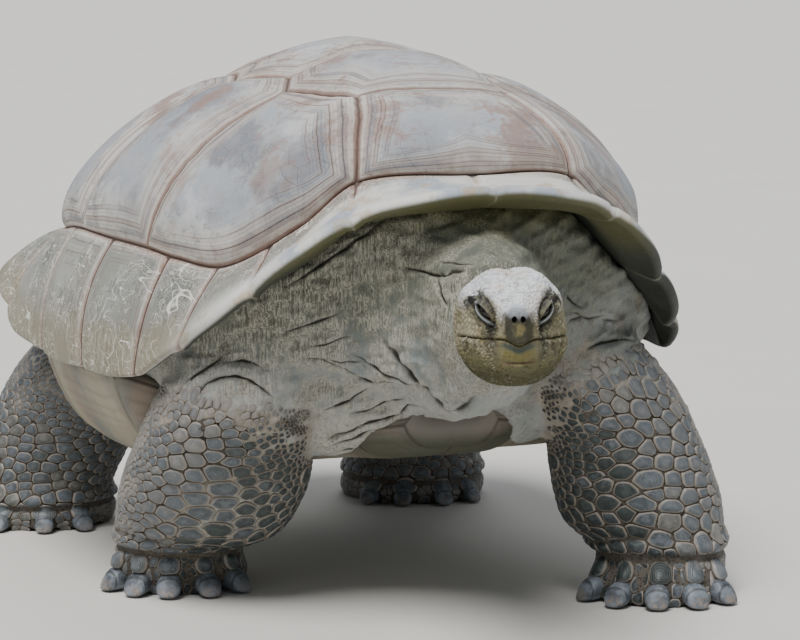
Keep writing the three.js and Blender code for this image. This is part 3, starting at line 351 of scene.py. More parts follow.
@dataclass(frozen=True)
class ShellShape:
    """The carapace's outer faces: the dome over a unit disc, and the marginals round it."""

    dome: Oval = Oval(497, 461, 373)
    front_square: float = 2.37
    rear_square: float = 2.25
    top: float = 742
    top_y: float = -39
    front_spread: float = 1.44
    rear_spread: float = 1.39
    front_rise: float = 0.88
    rear_rise: float = 1.24
    rim: Oval = Oval(580, 558, 420)
    rim_square: float = 2.4
    scallop: float = 8
    flare: Triple = (40, 120, 16)  # how far out, at what angle, how wide
    seam_height: Keyed = Keyed([
        [0, 592], [22, 586], [32, 529], [46, 472], [57, 476], [64, 484], [75, 488], [95, 489],
        [110, 476], [125, 466], [155, 446], [180, 438],
    ])
    rim_height: Keyed = Keyed([
        [0, 585], [12, 574], [24, 551], [32.5, 507], [40, 459], [46, 414], [52, 376], [60, 330],
        [67, 317], [77, 316], [88, 312], [98, 318], [106, 332], [114, 366], [123, 398], [135, 404],
        [150, 384], [165, 364], [180, 354],
    ])
    bulge: Keyed = Keyed([
        [0, -10], [30, -9], [45, 0], [60, 15], [80, 20], [98, 16], [112, 10], [130, 8], [150, -4],
        [180, -10],
    ])
    seam_angles: tuple[float, ...] = (0, 22.4, 37.9, 47.7, 58.5, 75.5, 95, 114, 131, 145, 158, 170, 180)
    rim_angles: tuple[float, ...] = (0, 25, 41, 53, 62, 77, 95, 112, 128, 143, 157, 169, 180)

    @staticmethod
    def degrees(angle: Array) -> Array:
        """Returns how far an angle lies from the front, in degrees."""
        return np.degrees(np.abs(np.arctan2(np.sin(angle), np.cos(angle))))

    def seam(self, angle: Array) -> Array:
        """Returns points of the seam between dome and marginals."""
        off = self.degrees(angle)
        square = mix(self.rear_square, self.front_square, smooth((110 - off) / 40))
        place = self.dome.point(angle, square)
        return join(place[..., 0], place[..., 1], self.seam_height(off))

    def edge(self, angle: Array, scallop: Array | float = 0.0) -> Array:
        """Returns points of the free rim, pushed out by the flare and the scallops."""
        off = self.degrees(angle)
        by, at, width = self.flare
        place = self.rim.point(angle, self.rim_square)
        place = place + unit(place) * (by * bell(off - at, width) + scallop)[..., None]
        return join(place[..., 0], place[..., 1], self.rim_height(off))

    def on_dome(self, q: Array) -> Array:
        """Returns points of the dome over the disc: its rim is the seam, its middle the top."""
        u, v = q[..., 0], q[..., 1]
        t = np.minimum(1, np.hypot(u, v))
        edge = self.seam(np.arctan2(-u, -v))
        forward = np.where(t > 1e-9, smooth((0.6 - v / np.maximum(t, 1e-9)) / 1.2), 0.5)
        slope = t * math.pi / 2
        across = np.sin(slope) ** mix(self.rear_spread, self.front_spread, forward)
        up = np.maximum(0, np.cos(slope)) ** mix(self.rear_rise, self.front_rise, forward)
        y, z = mix(self.top_y, edge[..., 1], across), mix(edge[..., 2], self.top, up)
        return join(edge[..., 0] * across, y, z)

    def angle(self, m: Array, free: bool) -> Array:
        """Returns the angle of a place counted in marginals, at the seam or at the free rim."""
        m = np.asarray(m, float)
        m = m - 2 * MARGINALS * np.round(m / (2 * MARGINALS + 1e-9))
        table = self.rim_angles if free else self.seam_angles
        return np.radians(np.sign(m) * np.interp(np.abs(m), range(MARGINALS + 1), table))

    def disc(self, m: Array) -> Array:
        """Returns the place on the disc's rim, counted in marginals."""
        angle = self.angle(m, False)
        return join(-np.sin(angle), -np.cos(angle))

    def on_marginal(self, q: Array) -> Array:
        """Returns points of the marginals: round the rim, and from the seam at 0 to the edge at 1."""
        m, w = q[..., 0], q[..., 1]
        m = m - 2 * MARGINALS * np.round(m / (2 * MARGINALS + 1e-9))
        top = self.seam(self.angle(m, False))
        angle = self.angle(m, True)
        off = self.degrees(angle)
        share = np.abs(m) % 1
        free = 1 - smooth((off - 52) / 8) * smooth((106 - off) / 8)
        lobe = np.where(np.abs(m) > MARGINALS - 1, 0.5, 4 * share * (1 - share))
        edge = self.edge(angle, self.scallop * free * lobe * w)
        across = edge - top
        flat = join(top[..., 0], top[..., 1], 0.0)
        out = unit(flat)
        reach = np.maximum(10, (across * out).sum(-1))
        up = unit(join(0.0, 0.0, 1.0) * reach[..., None] + out * np.maximum(10, -across[..., 2])[..., None])
        swell = self.bulge(off) * 4 * w * (1 - w)
        return top + across * w[..., None] + up * swell[..., None]

    def raised(self, face: Measure, step: float, q: Array, height: Array | float) -> Array:
        """Returns points at a height over a face.

        Args:
            face: the face's points for its two coordinates.
            step: how far apart the face is read to find its slope.
            q: places on the face.
            height: height at each place.

        Returns:
            The points.
        """
        du, dv = np.array([step, 0.0]), np.array([0.0, step])
        normal = unit(np.cross(face(q + du) - face(q - du), face(q + dv) - face(q - dv)))
        place = face(q)
        outward = (normal * (place - np.array([0, self.top_y, -160]))).sum(-1, keepdims=True)
        return place + normal * np.where(outward < 0, -1, 1) * np.asarray(height)[..., None]

    def over_dome(self, q: Array, height: Array | float) -> Array:
        """Returns points at a height over the dome."""
        return self.raised(self.on_dome, 0.004, q, np.broadcast_to(height, q.shape[:-1]))

    def over_marginal(self, q: Array, height: Array | float) -> Array:
        """Returns points at a height over the marginals."""
        return self.raised(self.on_marginal, 0.01, q, np.broadcast_to(height, q.shape[:-1]))


def groove(distance: Array, width: float) -> Array:
    """Returns how far a plate has risen out of its seam, from 0 to 1."""
    return 1 - bell(distance, width)


# ------------------------------------------------------------------ carapace
@dataclass
class Carapace:
    """The domed upper shell: thirteen large plates, the marginals, the rolled rim and the inside."""

    frame: BodyFrame
    shape: ShellShape = field(default_factory=ShellShape)
    corners: dict[str, tuple[float, float]] = field(default_factory=lambda: {
        "first_rear": (0.22, -0.56), "second_side": (0.32, -0.3), "second_rear": (0.285, -0.235),
        "third_side": (0.41, -0.1), "third_rear": (0.33, 0.12), "fourth_side": (0.345, 0.29),
        "fourth_rear": (0.22, 0.44),
    })
    middles: tuple[float, ...] = (-0.78, -0.4, -0.06, 0.28, 0.72)
    vertebral_rise: tuple[float, ...] = (9, 12, 9, 11, 9)
    costal_seams: tuple[float, ...] = (1, 4 + 1 / 3, 5 + 2 / 3, 7 + 1 / 3, 10)
    costal_rise: float = 15
    costal_shift: tuple[float, float] = (0.05, 0.03)
    marginal_rise: float = 3
    per_marginal: int = 15  # points along one marginal's edge
    per_disc: float = 52  # points along a seam as long as the disc's radius
    rings: int = 42  # from a plate's seam to its middle
    ring_crowding: float = 1.6  # how much closer the rings lie at the seam
    seam_waves: tuple[tuple[float, float], ...] = ((0.33, 0.0045), (0.07, 0.0016))  # length and height
    growth_step: float = 6.3  # between growth rings
    growth_height: float = 0.45
    marginal_rings: int = 22  # from a marginal's seam to the free rim
    marginal_crowding: float = 1.25
    marginal_growth: tuple[float, float] = (7.5, 0.35)  # between growth rings, and their height
    roll: Keyed = Keyed([[0, 9.5], [2.6, 9], [3.6, 7], [5, 5.5], [8, 6], [12, 6.5]])

    def boss(self, rise: float) -> Keyed:
        """Returns a plate's height over its seam by the share of the way to its middle."""
        return Keyed([
            [0, 0], [0.035, GROOVE], [0.18, GROOVE + rise * 0.5], [0.48, GROOVE + rise * 0.88],
            [1, GROOVE + rise],
        ])

    def line(self, a: Array, b: Array) -> Array:
        """Returns points from a up to but not at b, evenly apart."""
        a, b = np.asarray(a, float), np.asarray(b, float)
        n = max(4, round(float(norm(b - a)) * self.per_disc))
        shares = np.arange(n)[:, None] / n
        return a * (1 - shares) + b * shares

    def arc(self, start: float, end: float) -> Array:
        """Returns points of the disc's rim from one place up to another, counted in marginals."""
        n = round((end - start) * self.per_marginal)
        return self.shape.disc(start + (end - start) * np.arange(n) / n)

    def loops(self) -> list[tuple[Array, Array, float]]:
        """Returns each large plate's outline and middle on the disc, and its rise."""
        disc = self.shape.disc
        v = {name: np.array([-u, w]) for name, (u, w) in self.corners.items()}
        mirror = np.array([-1.0, 1.0])
        spans = [
            [disc(0), disc(1), v["first_rear"]],
            [v["first_rear"], v["second_side"], v["second_rear"]],
            [v["second_rear"], v["third_side"], v["third_rear"]],
            [v["third_rear"], v["fourth_side"], v["fourth_rear"]],
            [v["fourth_rear"], disc(10), disc(12)],
        ]
        found = []
        for i, (front, side, rear) in enumerate(spans):
            first = self.arc(0, 1) if i == 0 else self.line(front, side)
            second = self.arc(10, 12) if i == 4 else self.line(side, rear)
            back = [] if i == 4 else [self.line(rear, rear * mirror)]
            other = [self.arc(-12, -10) if i == 4 else self.line(rear * mirror, side * mirror)]
            other.append(self.arc(-1, 0) if i == 0 else self.line(side * mirror, front * mirror))
            across = [] if i == 0 else [self.line(front * mirror, front)]
            loop = np.concatenate([first, second, *back, *other, *across])
            found.append((loop, np.array([0.0, self.middles[i]]), self.vertebral_rise[i]))
        inner = [
            ["first_rear", "second_side"],
            ["second_side", "second_rear", "third_side"],
            ["third_side", "third_rear", "fourth_side"],
            ["fourth_side", "fourth_rear"],
        ]
        for i, names in enumerate(inner):
            start, end = self.costal_seams[i], self.costal_seams[i + 1]
            edge = [v[name] for name in reversed(names)]
            lines = [self.line(disc(end), edge[0])]
            lines += [self.line(a, b) for a, b in zip(edge, edge[1:])]
            lines.append(self.line(edge[-1], disc(start)))
            loop = np.concatenate([self.arc(start, end), *lines])
            middle = loop.mean(0) + self.costal_shift
            found.append((loop, middle, self.costal_rise))
            found.append((loop[::-1] * mirror, middle * mirror, self.costal_rise))
        return found

    def warp(self, q: Array) -> Array:
        """Returns places on the disc with the seams made to wander a little."""
        fade = 1 - np.minimum(1, (q**2).sum(-1)) ** 2
        shift = 0
        for i, (wave, high) in enumerate(self.seam_waves):
            shift = shift + join(Wander(wave, 5 + 2 * i)(q), Wander(wave, 6 + 2 * i)(q)) * high
        return q + shift * fade[..., None]

    def plate(self, loop: Array, middle: Array, rise: float, tone: float) -> Patch:
        """Returns one large plate, from its seam to its middle, with its growth rings."""
        loop = np.concatenate([loop, loop[:1]])
        t = (np.arange(self.rings + 1) / self.rings) ** self.ring_crowding
        q = loop * (1 - t[:, None, None]) + middle * t[:, None, None]
        flat = self.shape.on_dome(q)
        span = norm(flat[0] - flat[-1])
        distance = t[:, None] * span
        height = self.boss(rise)(t)[:, None] * groove(distance, GROOVE_WIDTHS[0])
        sway = Wander(240, 11)(flat)
        turns = 2 * math.pi * (distance + 2 * sway) / self.growth_step + tone * 30
        ridge = np.sin(turns) * (0.6 + 0.4 * np.sin(turns * 0.37))
        fade = smooth((85 - distance) / 60) * smooth(distance / 6)
        strength = smooth(0.5 + 0.6 * Wander(300, 12)(flat))
        height = height + self.growth_height * ridge * fade * strength
        points = self.shape.over_dome(self.warp(q), height)
        return Patch(points, {"seam": distance, "tone": 0 * distance + tone, "rim": 0 * distance})

    def marginals(self) -> Patch:
        """Returns the marginals as one band, rolled over at the rim and closed by the shell's inside."""
        shape = self.shape
        count = 2 * MARGINALS * self.per_marginal
        m = np.arange(count + 1) / self.per_marginal - MARGINALS
        edge, aside = join(m, 1.0), np.array([0.2, 0.0])
        lengths = norm(shape.on_marginal(edge + aside) - shape.on_marginal(edge - aside)) / (2 * aside[0])
        heights = norm(shape.on_marginal(edge) - shape.on_marginal(join(m, 0.0)))
        roll = self.roll(np.abs(m))
        rings = self.marginal_rings
        outward = (np.arange(rings + 1) / rings)[:, None] ** self.marginal_crowding
        w = outward * (1 - roll / heights)
        behind = np.abs(m) > MARGINALS - 1
        side = np.where(behind, np.abs(m) - (MARGINALS - 1), np.abs(m - np.round(m))) * lengths
        seam = np.minimum(side, w * heights)
        relief = GROOVE * groove(seam, GROOVE_WIDTHS[1]) + self.marginal_rise * smooth(seam / 45)
        plates = np.floor(np.where(behind, MARGINALS, np.clip(m, -11.5, 11.5)))
        tone = jumbled(plates, 12.9898, 4.1, 43.7)
        apart, high = self.marginal_growth
        turns = 2 * math.pi * (seam / apart + tone)
        relief = relief + high * np.sin(turns) * smooth(seam / 8) * smooth((48 - seam) / 30)
        face = shape.over_marginal(join(m, w), relief)
        across = unit(face[-1] - face[-3])
        along = np.roll(face[-1], -2, 0) - np.roll(face[-1], 2, 0)
        normal = unit(np.cross(across, along))
        inward = (normal * (face[-1] - np.array([0, shape.top_y, 0]))).sum(-1, keepdims=True)
        normal = np.where(inward < 0, -normal, normal)
        centre = face[-1] - normal * roll[:, None]
        turn = np.linspace(0, math.pi, 10)[1:, None, None]
        lip = centre + (normal * np.cos(turn) + across * np.sin(turn)) * roll[:, None]
        flange = shape.over_marginal(join(m, 0.55), -WALL)
        spans = np.linspace(0, 1, 6)[1:, None, None]
        under = lip[-1] * (1 - spans) + flange * spans
        wall = shape.over_marginal(join(m, 0.06), -WALL - 2)[None]
        shares = np.array([0.86, 0.62, 0.34, 0.0])[:, None, None]
        inside = shape.over_dome(shape.disc(m) * shares + [0, 1e-3], -WALL)
        inside[-1] = inside[-1].mean(0)
        points = np.concatenate([face, lip, under, wall, inside])
        rows = len(points) - len(face)
        seams = np.concatenate([seam, np.repeat(side[None], rows, 0)])
        tones = np.repeat(tone[None], len(points), 0)
        # 0 at the seam, 1 at the free rim, 2 where its roll ends and 3 on the inside.
        rim = 0 * seams + 3
        rim[:len(face)] = outward
        rim[len(face):len(face) + len(lip)] = 1 + np.linspace(0.1, 1, len(lip))[:, None]
        return Patch(points, {"seam": seams, "tone": tones, "rim": rim})

    def build(self) -> Object:
        """Returns the finished upper shell."""
        draw = np.random.default_rng(3)
        patches = [self.plate(*loop, float(draw.uniform())) for loop in self.loops()]
        patches.append(self.marginals())
        shell = new_object("upper_shell", patch_mesh("upper_shell", patches, self.frame))
        shell.data.materials.append(ShellFinish().material())
        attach(shell, "root")
        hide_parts("carapace")
        return shell


# ------------------------------------------------------------------ plastron
@dataclass
class Plastron:
    """The under shell and its bridges: six pairs of flat plates."""

    frame: BodyFrame
    # Along the body: half width, height of the underside, rise of its edge, squareness.
    sections: Keyed = Keyed([
        [-434, [66, 231, 33, 5]], [-415, [88, 223, 36, 5]], [-370, [122, 212, 34, 6]],
        [-310, [160, 205, 34, 7]], [-272, [205, 199, 50, 8]], [-245, [330, 194, 103, 9]],
        [-215, [384, 189, 127, 10]], [-120, [392, 177, 137, 10]], [0, [395, 168, 142, 10]],
        [120, [392, 165, 151, 10]], [205, [380, 168, 152, 10]], [240, [320, 172, 120, 9]],
        [268, [235, 178, 50, 8]], [320, [212, 186, 34, 7]], [370, [182, 194, 32, 6]],
        [415, [120, 204, 30, 5]], [432, [72, 208, 28, 5]],
    ])
    seams: tuple[float, ...] = (-434, -372, -262, -196, 150, 305, 432)
    thick: float = 27
    hollow: tuple[float, float, float, float] = (6, 160, 220, 120)  # deep, wide, long, where
    growth: tuple[float, float] = (8, 0.3)  # between growth rings, and their height

    def underside(self, share: Array, y: Array, height: Array) -> Array:
        """Returns points at a height over the outer face, by share of the half width."""
        half, low, edge, square = np.moveaxis(self.sections(y), -1, 0)
        deep, wide, length, at = self.hollow
        hollow = deep * bell(share * half, wide) * bell(y - at, length)
        lift = smooth((np.abs(share) - 0.7) / 0.3)
        way = unit(join(np.sign(share) * lift, 0.0 * lift, lift - 1.001))
        place = join(share * half, y, low + edge * np.abs(share) ** square + hollow)
        return place + way * height[..., None]

    def inside(self, share: Array, y: Array) -> Array:
        """Returns points of the inner face."""
        half, low, edge, square = np.moveaxis(self.sections(y), -1, 0)
        behind = y - self.seams[0]
        rise = np.maximum(3, edge - self.thick) * np.abs(share) ** square
        rise = rise + 22 * bell(behind, 130) + 14 * bell(behind, 34)
        end = self.seams[-1] - 10
        return join(share * (half - self.thick + 1), np.clip(y, -end, end), low + self.thick + rise)

    def patch(self) -> Patch:
        """Returns the whole under shell as one sheet, closed round its section and at both ends."""
        near = np.array([-6, -3, -1.2, 0, 1.2, 3, 6])
        stops = [np.arange(-434, 433, 9.0)] + [seam + near for seam in self.seams]
        ys = np.unique(np.clip(np.concatenate(stops), self.seams[0], self.seams[-1]))[:, None]
        half_shares = np.unique(np.concatenate([
            np.linspace(0, 1, 34), [0.003, 0.008, 0.016], 1 - np.array([0.01, 0.025, 0.045])]))
        shares = np.concatenate([-half_shares[:0:-1], half_shares])[None, :]
        half = self.sections(ys)[..., 0]
        off = np.min(np.abs(ys[..., None] - np.array(self.seams)), -1)
        seam = np.minimum(np.minimum(np.abs(shares) * half, (1 - np.abs(shares)) * half), off)
        relief = GROOVE * groove(seam, GROOVE_WIDTHS[2])
        apart, high = self.growth
        turns = 2 * math.pi * seam / apart
        relief = relief + high * np.sin(turns) * smooth(seam / 8) * smooth((60 - seam) / 40)
        outer = self.underside(shares + 0 * ys, ys + 0 * shares, relief)
        inner = self.inside(shares + 0 * ys, ys + 0 * shares)[:, ::-1]
        loop = np.concatenate([outer, inner, outer[:, :1]], 1)
        flat = np.concatenate([outer, outer[:, ::-1], outer[:, :1]], 1)
        tall = norm(loop[:1] - flat[:1])[..., None]
        lip = [mix(loop[:1], flat[:1], t) - tall * [0, 0.24 * math.sin(math.pi * t), 0]
               for t in (0.9, 0.75, 0.6, 0.45, 0.3, 0.15)]
        points = np.concatenate([flat[:1], *lip, loop, flat[-1:]])
        seam = np.concatenate([seam, seam[:, ::-1] * 0 + 60, seam[:, :1]], 1)
        seam = np.concatenate([seam[:1]] * (len(lip) + 1) + [seam, seam[-1:]])
        plate = np.floor(np.interp(points[..., 1], self.seams, range(7))) + 7 * (points[..., 0] > 0)
        return Patch(points, {"seam": seam, "tone": jumbled(plate, 7.31, 1.7, 51.3)})

    def build(self) -> Object:
        """Returns the finished under shell."""
        shell = new_object("under_shell", patch_mesh("under_shell", [self.patch()], self.frame))
        shell.data.materials.append(UnderShellFinish().material())
        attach(shell, "root")
        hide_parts("plastron")
        return shell


# ------------------------------------------------------------------ legs
TOWARD = np.array([-0.36, -0.933, 0.0])  # the way the feet point
ACROSS = np.array([0.933, -0.36, 0.0])


@dataclass(frozen=True)
class Leg:
    """One leg's shape: centre, half width across and half depth down its length, and its claws."""

    name: str
    stations: Keyed
    claws: tuple[float, ...]  # angles of the claws from the front, in degrees
    claw: float  # a claw's length
    start: float  # share of the length at which its scales start
    ankle: float
    side: int  # 1 on the left, -1 on the right
    fore: bool
    seed: int
    toe: tuple[float, float] = (13, 0.185)  # height and width
    dips: tuple[float, float] = (5, 3)  # between the toes, and all over the front of the foot
    ankle_roll: float = 5  # the skin over the ankle's crease
    ankle_crease: float = 9
    second_crease: float = 4  # over it, on the forelegs alone

    def axes(self, s: Array) -> tuple[Array, Array, Array, Array, Array]:
        """Returns the centre, half width, half depth, and the ways across and to the front."""
        row = self.stations(s)
        step = 0.01
        ahead = self.stations(np.minimum(1, s + step))[..., :3]
        along = unit(ahead - self.stations(np.maximum(0, s - step))[..., :3])
        level = mix(0.6, 1, smooth((s - 0.72) / 0.2))[..., None]
        down = unit(along * (1 - level) + np.array([0, 0, -1.0]) * level)
        across = unit(ACROSS - down * (down @ ACROSS)[..., None])
        return row[..., :3], row[..., 3], row[..., 4], across, np.cross(down, across)

    def point(self, s: Array, angle: Array, height: Array | float = 0.0) -> Array:
        """Returns points at a height over the skin.

        Args:
            s: share of the leg's length.
            angle: angle round it from the front toward its left.
            height: height over the skin.

        Returns:
            The points in the animal's frame.
        """
        s, angle, height = np.broadcast_arrays(np.asarray(s, float), angle, height)
        centre, half, deep, across, front = self.axes(s)
        toe, width = self.toe
        toes = sum(bell(np.sin((angle - math.radians(a)) / 2) * 2, width) for a in self.claws)
        between = smooth(np.cos(angle) * 1.5) * (1 - smooth(toes * 1.4))
        sway = 0.006 * np.sin(angle * 3 + self.seed)
        ankle = self.ankle_roll * bell(s - self.ankle + 0.03 + sway, 0.022)
        ankle = ankle - self.ankle_crease * bell(s - self.ankle + sway / 2, 0.01)
        if self.fore:
            second = bell(s - self.ankle + 0.062 + 2 * sway, 0.007)
            ankle = ankle - self.second_crease * second * smooth(np.cos(angle) + 0.7)
        inner = smooth(np.cos(angle) + 0.6)  # the feet spread in front
        foot = smooth((s - self.ankle - 0.005) / 0.045)
        out = height + foot * (toe * toes - self.dips[0] * between - self.dips[1] * inner) + ankle
        sideways = (half + out) * power(np.sin(angle), 0.9)
        forward = (deep + out) * power(np.cos(angle), 0.9)
        place = centre + across * sideways[..., None] + front * forward[..., None]
        place[..., 2] = np.where(s > 0.999, 0.0, place[..., 2])
        return place

    def length(self) -> float:
        """Returns the length of the leg's middle line."""
        line = self.stations(np.linspace(0, 1, 60))[:, :3]
        return float(norm(np.diff(line, axis=0)).sum())

    def sheet(self, height: float) -> Patch:
        """Returns the leg's skin at a height, closed at both ends."""
        s = np.concatenate([np.linspace(0.03, 0.95, 70), [0.965, 0.98, 0.99, 0.995, 1.0]])[:, None]
        angle = np.linspace(0, 2 * math.pi, 97)[None]
        points = self.point(s, angle, height)
        points[-1, :, 2] = 0.4
        ends = [np.broadcast_to(points[i].mean(0), points[i].shape)[None] for i in (0, -1)]
        return Patch(np.concatenate([ends[0], points, ends[1]]))


LEGS = (
    Leg(
        "foreleg_left",
        Keyed([
            [0, [174, -296, 388, 34, 34]], [0.05, [178, -302, 378, 70, 68]],
            [0.14, [195, -328, 346, 88, 88]], [0.26, [229, -358, 296, 95, 92]],
            [0.42, [269, -364, 238, 97, 92]],
            [0.57, [289, -362, 184, 105, 96]], [0.71, [306, -363, 130, 107, 96]],
            [0.83, [325, -372, 84, 94, 88]], [0.91, [331, -382, 50, 86, 84]],
            [0.965, [322, -390, 18, 92, 90]], [1, [320, -391, 0, 86, 84]],
        ]),
        claws=(-64, -33, -4, 22, 50), claw=32, start=0.2, ankle=0.885, side=1, fore=True, seed=21,
    ),
    Leg(
        "foreleg_right",
        Keyed([
            [0, [-190, -285, 388, 34, 34]], [0.05, [-196, -288, 378, 74, 70]],
            [0.14, [-217, -300, 346, 97, 90]], [0.26, [-244, -300, 294, 104, 94]],
            [0.42, [-254, -268, 238, 112, 92]], [0.57, [-253, -226, 186, 120, 94]],
            [0.71, [-256, -172, 132, 116, 94]], [0.83, [-267, -122, 84, 97, 88]],
            [0.91, [-272, -98, 50, 86, 84]], [0.965, [-264, -84, 18, 89, 90]], [1, [-263, -83, 0, 83, 84]],
        ]),
        claws=(-58, -29, -4, 23, 51), claw=32, start=0.25, ankle=0.885, side=-1, fore=True, seed=22,
    ),
    Leg(
        "hindleg_left",
        Keyed([
            [0, [205, 255, 340, 60, 60]], [0.1, [215, 280, 315, 92, 86]],
            [0.25, [238, 318, 262, 108, 100]], [0.45, [260, 368, 196, 108, 100]],
            [0.65, [272, 402, 128, 105, 98]], [0.82, [277, 416, 68, 104, 94]],
            [0.95, [277, 422, 16, 114, 100]], [1, [277, 423, 0, 108, 94]],
        ]),
        claws=(-30, -5, 21, 46), claw=27, start=0.2, ankle=0.9, side=1, fore=False, seed=23,
    ),
    Leg(
        "hindleg_right",
        Keyed([
            [0, [-205, 255, 340, 60, 60]], [0.1, [-220, 280, 315, 92, 86]],
            [0.25, [-250, 318, 262, 108, 100]], [0.45, [-290, 370, 196, 106, 100]],
            [0.65, [-315, 402, 128, 103, 98]], [0.82, [-330, 416, 68, 100, 94]],
            [0.95, [-334, 424, 16, 110, 100]], [1, [-334, 425, 0, 104, 94]],
        ]),
        claws=(-52, -24, 6, 34), claw=27, start=0.2, ankle=0.9, side=-1, fore=False, seed=24,
    ),
)
SKIN_LIFT = 2.0  # how far the legs' skin stands over their plain shape, under the scales


@dataclass
class ScaleField:
    """Scales spread over a surface: places of varied size, each given the cell that is nearest to it."""

    width: float  # size of the flattened surface, which closes on itself across
    height: float
    spacing: Measure
    closeness: float = 0.8
    sides: int = 14
    groove: float = 1.1
    corners: float = 15.0  # how sharp the scales' corners are
    neighbours: int = 18  # how many bound a scale at most

    def offsets(self, a: Array, b: Array) -> Array:
        """Returns the ways from places a to places b, the short way round."""
        way = b - a
        way[..., 0] -= self.width * np.round(way[..., 0] / self.width)
        return way

    def scatter(self, seed: int, tries: int, fixed: Array) -> tuple[Array, Array]:
        """Draws places that keep their distance from each other.

        Args:
            seed: seed of the draw.
            tries: how many places are drawn.
            fixed: places that are kept whatever the draw, as x, y and size.

        Returns:
            The places and their sizes.
        """
        draw = np.random.default_rng(seed)
        tried = draw.uniform((0, 0), (self.width, self.height), (tries, 2))
        sizes = self.spacing(tried)
        order = np.argsort(-sizes + draw.uniform(0, 8, tries), kind="stable")
        places = np.empty((tries + len(fixed), 2))
        kept = np.empty(tries + len(fixed))
        n = len(fixed)
        places[:n], kept[:n] = fixed[:, :2], fixed[:, 2]
        for place, size in zip(tried[order], sizes[order]):
            if size <= 0:
                continue
            way = self.offsets(place[None], places[:n].copy())
            if n and np.any(np.hypot(way[:, 0], way[:, 1]) < self.closeness * (size + kept[:n]) / 2):
                continue
            places[n], kept[n] = place, size
            n += 1
        return places[:n], kept[:n]

    def cells(self, places: Array, sizes: Array, groove_width: Array) -> tuple[Array, Array]:
        """Works out each cell's outline round its place.

        Args:
            places: the places.
            sizes: their sizes.
            groove_width: width of the groove round each.

        Returns:
            The distance to the outline in each of a few directions, and those directions.
        """
        turns = np.arange(self.sides) * 2 * math.pi / self.sides
        ways = join(np.cos(turns), np.sin(turns))
        reach = np.empty((len(places), self.sides))
        for i, place in enumerate(places):
            way = self.offsets(place[None], places.copy())
            apart = np.hypot(way[:, 0], way[:, 1])
            near = np.argsort(apart, kind="stable")[1:self.neighbours + 1]
            apart, way = apart[near], way[near]
            middle = apart / 2 + (sizes[i] ** 2 - sizes[near] ** 2) / (10 * apart) - groove_width[i] / 2
            facing = (way / apart[:, None]) @ ways.T
            far = middle[:, None] / np.maximum(facing, 0.05)
            inverse = (np.maximum(far, 0.5) ** -self.corners).sum(0)
            reach[i] = np.minimum(inverse ** (-1 / self.corners), sizes[i] * 0.8)
        return reach, ways

    def settle(self, places: Array, sizes: Array, fixed: int, rounds: int = 2) -> Array:
        """Returns the places moved to the middle of their cells, so that the cells grow even."""
        for _ in range(rounds):
            reach, ways = self.cells(places, sizes, np.zeros(len(places)))
            shift = (reach[..., None] ** 3 * ways).sum(1) / (1.5 * (reach**2).sum(1))[:, None]
            shift[:fixed] = 0
            places = places + shift
        return places

    def unwrap(self, spots: Array) -> Array:
        """Returns where flattened spots lie on the skin's unwrap, inside a narrow border."""
        return 0.02 + 0.96 * join((spots[:, 0] / self.width) % 1, spots[:, 1] / self.height)


